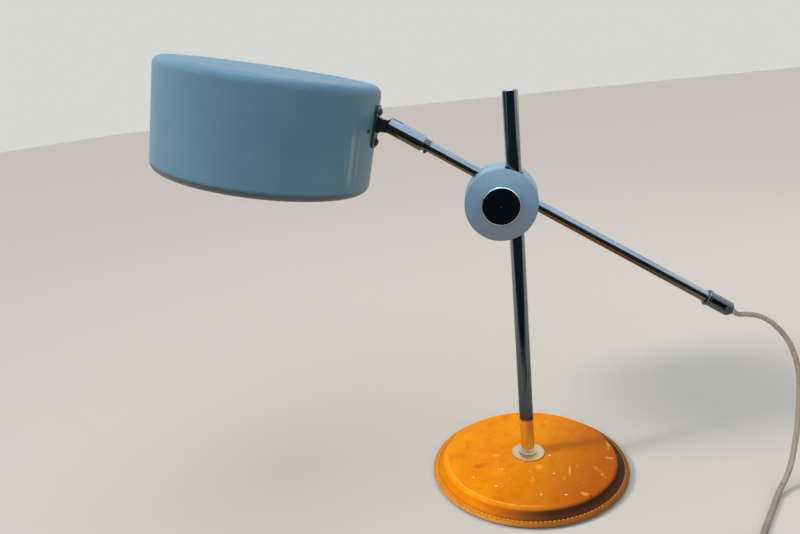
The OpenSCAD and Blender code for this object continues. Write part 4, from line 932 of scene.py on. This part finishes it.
def makeShade():
    s = shadeSizes
    topR = s["radius"] - s["topRound"]
    profile = [(r, 0) for r in (8, 30, 55, 78, 92)] \
        + arcPoints(topR, -s["topRound"], s["topRound"], 90, 0, 10) \
        + [(s["radius"], z) for z in (-24, -40, -56, -72, -86)] \
        + arcPoints(s["radius"] - s["curl"], s["curl"] - s["height"], s["curl"], 0, -105, 12)
    shade = latheUp("shade_spun", profile, s["sides"], capFirst=True)
    out = sum(p.normal.dot(Vector((p.center.x, p.center.y, 0))) * p.area for p in shade.data.polygons)
    if out < 0:
        activate(shade)
        bpy.ops.object.mode_set(mode="EDIT")
        bpy.ops.mesh.select_all(action="SELECT")
        bpy.ops.mesh.flip_normals()
        bpy.ops.object.mode_set(mode="OBJECT")
    shade.data.materials.append(bakedEnamel(shadePlace.translation * 1000, s["tilt"], s["height"]))
    shade.data.materials.append(finishes["inside"])
    finishWith(shade, "SOLIDIFY", thickness=s["wall"] / 1000, offset=-1, material_offset=1,
               material_offset_rim=1)
    for depth in s["boltDepths"]:
        drillThrough(shade, s["boltHole"] / 2, depth)
    drillThrough(shade, s["wireHole"] / 2, s["wireDepth"])
    drillThrough(shade, s["peepR"], s["peepDepth"], s["peepTurn"])
    smoothOver(shade, 40)
    placeAt(shade, shadePlace)
    dress(shade, None, "shade", "blue_paint", "shade_shell")


def makeBoltWasher():
    # Thin bright washer under the upper bolt's head
    profile = [(2.4, 0.0), (5.0, 0.0), (5.2, 0.15), (5.2, 0.45), (5.0, 0.6), (2.4, 0.6), (2.4, 0.0)]
    washer = latheUp("bolt_washer", profile, 40)
    smoothOver(washer, 35)
    placeAt(washer, shadePlace @ acrossWall(shadeSizes["washerOut"], shadeSizes["boltDepths"][0]))
    dress(washer, "steel", "shade", "steel")


def makeHolderRing():
    # The knurled shade ring on the lampholder
    profile = [(14.5, 1.0), (14.5, 0.0), (21.4, 0.0), (22.0, 0.6), (22.0, 7.4), (21.4, 8.0),
               (18.4, 8.0), (18.4, 1.0), (14.5, 1.0)]
    ring = latheUp("holder_ring_knurled", profile, 72)

    def onRib(middle, normal):
        turn = math.degrees(math.atan2(middle.y, middle.x)) % 10
        return middle.xy.length > 21.8 and 0.8 < middle.z < 7.2 and turn < 5

    pickFaces(ring, onRib)
    bpy.ops.mesh.inset(thickness=0.0003, depth=-0.0004, use_individual=True)
    bpy.ops.object.mode_set(mode="OBJECT")
    smoothOver(ring, 30)
    placeAt(ring, shadePlace @ acrossWall(shadeSizes["ringOut"], shadeSizes["wireDepth"]))
    dress(ring, "bakelite", "shade", "bakelite", "lampholder_ring")


def makeSideRivet():
    # A small dark rivet that closes the hole beside the hinge plate
    s = shadeSizes
    profile = [(1.4, -2.2), (1.4, 0.0), (2.6, 0.0), (2.6, 0.25), (2.35, 0.65), (1.75, 1.0), (0.9, 1.2)]
    rivet = latheUp("side_rivet", profile, 24, capFirst=True, capLast=True)
    smoothOver(rivet, 50)
    placeAt(rivet, shadePlace @ acrossWall(s["radius"] + 0.02, s["peepDepth"], s["peepTurn"]))
    dress(rivet, "bolt", "shade", "black_steel")


makeShade()
makeBoltWasher()
makeHolderRing()
makeSideRivet()
print("shade dressed")


# Tie round the coil

tieSizes = {"inside": 20.19, "outside": 35.2, "height": 21.55, "thick": 0.6, "wide": 9, "turn": 60}


def makeTie():
    # A band bent round the coil's section, lapped on top
    s = tieSizes
    deselect()
    bpy.ops.mesh.primitive_plane_add(size=0.001)
    band = bpy.context.object
    band.name = "cord_tie_strap"
    wide = s["outside"] - s["inside"] + s["thick"]
    bpy.ops.object.mode_set(mode="EDIT")
    bpy.ops.transform.resize(value=(wide, s["height"], 1))
    bpy.ops.mesh.bevel(offset=0.003, segments=5, affect="VERTICES")
    bpy.ops.mesh.delete(type="ONLY_FACE")
    bpy.ops.mesh.select_all(action="SELECT")
    bpy.ops.mesh.extrude_edges_move(TRANSFORM_OT_translate={"value": (0, 0, s["wide"] / 1000)})
    bpy.ops.object.mode_set(mode="OBJECT")
    finishWith(band, "SOLIDIFY", thickness=s["thick"] / 1000, offset=0)
    finishWith(band, "BEVEL", width=0.00015, segments=2, limit_method="ANGLE")
    smoothOver(band, 35)
    middle = Vector(((s["inside"] + s["outside"]) / 2, 0, s["height"] / 2 + s["thick"] / 2 + 0.05)) / 1000
    place = (Matrix.Translation(Vector(cordSizes["coilAt"]) / 1000)
             @ Matrix.Rotation(math.radians(s["turn"]), 4, "Z")
             @ Matrix.Translation(middle + Vector((0, s["wide"] / 2000, 0)))
             @ Matrix.Rotation(math.pi / 2, 4, "X"))
    placeAt(band, place)
    dress(band, "strap", "base", "tie", "cord_tie")


makeTie()
print("tie made")


# Each cord's piece and line are looked up from its facts; nothing more is done with them

for name, farEnd, lay, ownPieces in cordFacts:
    piece, line = cords[name][:2]


# Floor and light

studio = {
    "floor": "#d3cdc3",
    "backdrop": "#dcdcda", "backdropHigh": "#bad5ec", "backdropLevel": 0.95, "highLevel": 1.9,
    # A dark card lies in front of the lamp and stands up behind the camera; only shiny surfaces show it
    "card": {"near": -0.12, "fullFrom": -0.34, "wall": -1.6, "high": 0.95, "wide": 6.0,
             "colour": "#29313b"},
    "softLight": "#f2f6ff", "softFrom": (-0.18, -0.84, 0.5), "softMost": 1.4, "softLeast": 0.08,
    "sun": {"from": (-0.8, -0.26, 0.62), "level": 1.65, "spread": 10, "colour": "#fff6ea"},
    "lamps": [
        # name, place, aim, width, height, power, colour
        ("overhead", (-0.1, 0.2, 1.9), (0, 0, 0.2), 1.3, 0.9, 9, "#dcebf4"),
        ("strip_right", (1.35, 0.75, 0.6), (0, 0, 0.25), 0.16, 0.7, 1.2, "#ffe6d0"),
    ],
}
deselect()
bpy.ops.mesh.primitive_plane_add(size=16, location=(0, 4, 0))
floor = bpy.context.object
floor.name = "floor"
bpy.ops.object.transform_apply(location=True, rotation=True, scale=True)
floorFinish = newFinish("studio_floor_matt", Roughness=0.9, Specular_IOR_Level=0.1,
                        Base_Color=studio["floor"])[0]
floor.data.materials.append(floorFinish)

# The backdrop is what the camera, metal and glass see; soft light comes from the front left
world = bpy.data.worlds.new("studio")
bpy.context.scene.world = world
world.use_nodes = True
sky = world.node_tree
skyWay = addNode(sky, "TexCoord").outputs["Generated"]
skySplit = addNode(sky, "SeparateXYZ", {"Vector": skyWay})
skyHigh = addNode(sky, "MapRange", {"From Min": 0.36, "From Max": 0.5, "Value": skySplit.outputs["Z"]})
backdrop = addNode(sky, "Mix", {"Factor": skyHigh, "A": studio["backdrop"], "B": studio["backdropHigh"]},
                   data_type="RGBA")
toLight = addNode(sky, "VectorMath", {0: skyWay, 1: Vector(studio["softFrom"]).normalized()},
                  operation="DOT_PRODUCT")
softness = addNode(sky, "MapRange",
                   {"To Min": studio["softLeast"], "To Max": studio["softMost"], "Value": toLight})
seen = addNode(sky, "LightPath")
seenDirect = addNode(sky, "Math", {0: seen.outputs["Is Camera Ray"], 1: seen.outputs["Is Glossy Ray"]},
                     operation="MAXIMUM")
seenAny = addNode(sky, "Math", {0: seenDirect, 1: seen.outputs["Is Transmission Ray"]}, operation="MAXIMUM")
seenLevel = addNode(sky, "MapRange",
                    {"To Min": studio["backdropLevel"], "To Max": studio["highLevel"], "Value": skyHigh})
level = addNode(sky, "Mix", {0: seenAny, 2: softness, 3: seenLevel})
background = sky.nodes["Background"]
skyColour = addNode(sky, "Mix", {"Factor": seenAny, "A": studio["softLight"], "B": backdrop},
                    data_type="RGBA")
feed(background, Color=skyColour, Strength=level)

bpy.ops.object.light_add(type="SUN", location=(0, 0, 2))
sun = bpy.context.object
sun.name = "key_sun"
sun.data.energy = studio["sun"]["level"]
sun.data.angle = math.radians(studio["sun"]["spread"])
sun.data.color = hexColour(studio["sun"]["colour"])[:3]
sun.visible_glossy = False
sun.rotation_euler = (-Vector(studio["sun"]["from"])).to_track_quat("-Z", "Y").to_euler()

for name, place, aim, width, height, power, colour in studio["lamps"]:
    bpy.ops.object.light_add(type="AREA", location=place)
    lamp = bpy.context.object
    lamp.name = name
    lamp.data.shape = "RECTANGLE"
    lamp.data.size = width
    lamp.data.size_y = height
    lamp.data.energy = power
    lamp.data.color = hexColour(colour)[:3]
    lamp.rotation_euler = (Vector(aim) - Vector(place)).to_track_quat("-Z", "Y").to_euler()
    lamp.visible_camera = False

# The dark card, which fades in from its near edge
card = studio["card"]
deselect()
bpy.ops.mesh.primitive_plane_add(size=1, location=(0, (card["near"] + card["wall"]) / 2, 0.002))
darkCard = bpy.context.object
darkCard.name = "dark_card"
bpy.ops.object.mode_set(mode="EDIT")
bpy.ops.transform.resize(value=(card["wide"], card["near"] - card["wall"], 1))
bpy.ops.object.mode_set(mode="OBJECT")
bpy.ops.object.transform_apply(location=True, rotation=True, scale=True)
pickEdges(darkCard, lambda a, b: a.y < card["wall"] * 1000 + 1 and b.y < card["wall"] * 1000 + 1)
bpy.ops.mesh.extrude_edges_move(TRANSFORM_OT_translate={"value": (0, 0, card["high"])})
bpy.ops.object.mode_set(mode="OBJECT")
cardFinish, cardTree, cardShader, cardPlace = newFinish(
    "dark_card_felt", Roughness=1.0, Base_Color="#000000", Specular_IOR_Level=0.0,
    Emission_Color=card["colour"], Emission_Strength=1.0)
cardSplit = addNode(cardTree, "SeparateXYZ", {"Vector": cardPlace})
cardFade = addNode(cardTree, "MapRange",
                   {"From Min": card["near"] * 1000, "From Max": card["fullFrom"] * 1000,
                    "Value": cardSplit.outputs["Y"]}, interpolation_type="SMOOTHSTEP")
feed(cardShader, Alpha=cardFade)
darkCard.data.materials.append(cardFinish)
for ray in ("camera", "diffuse", "transmission", "volume_scatter", "shadow"):
    setattr(darkCard, "visible_" + ray, False)

bpy.context.scene.view_settings.view_transform = "Standard"
print("scene ready")
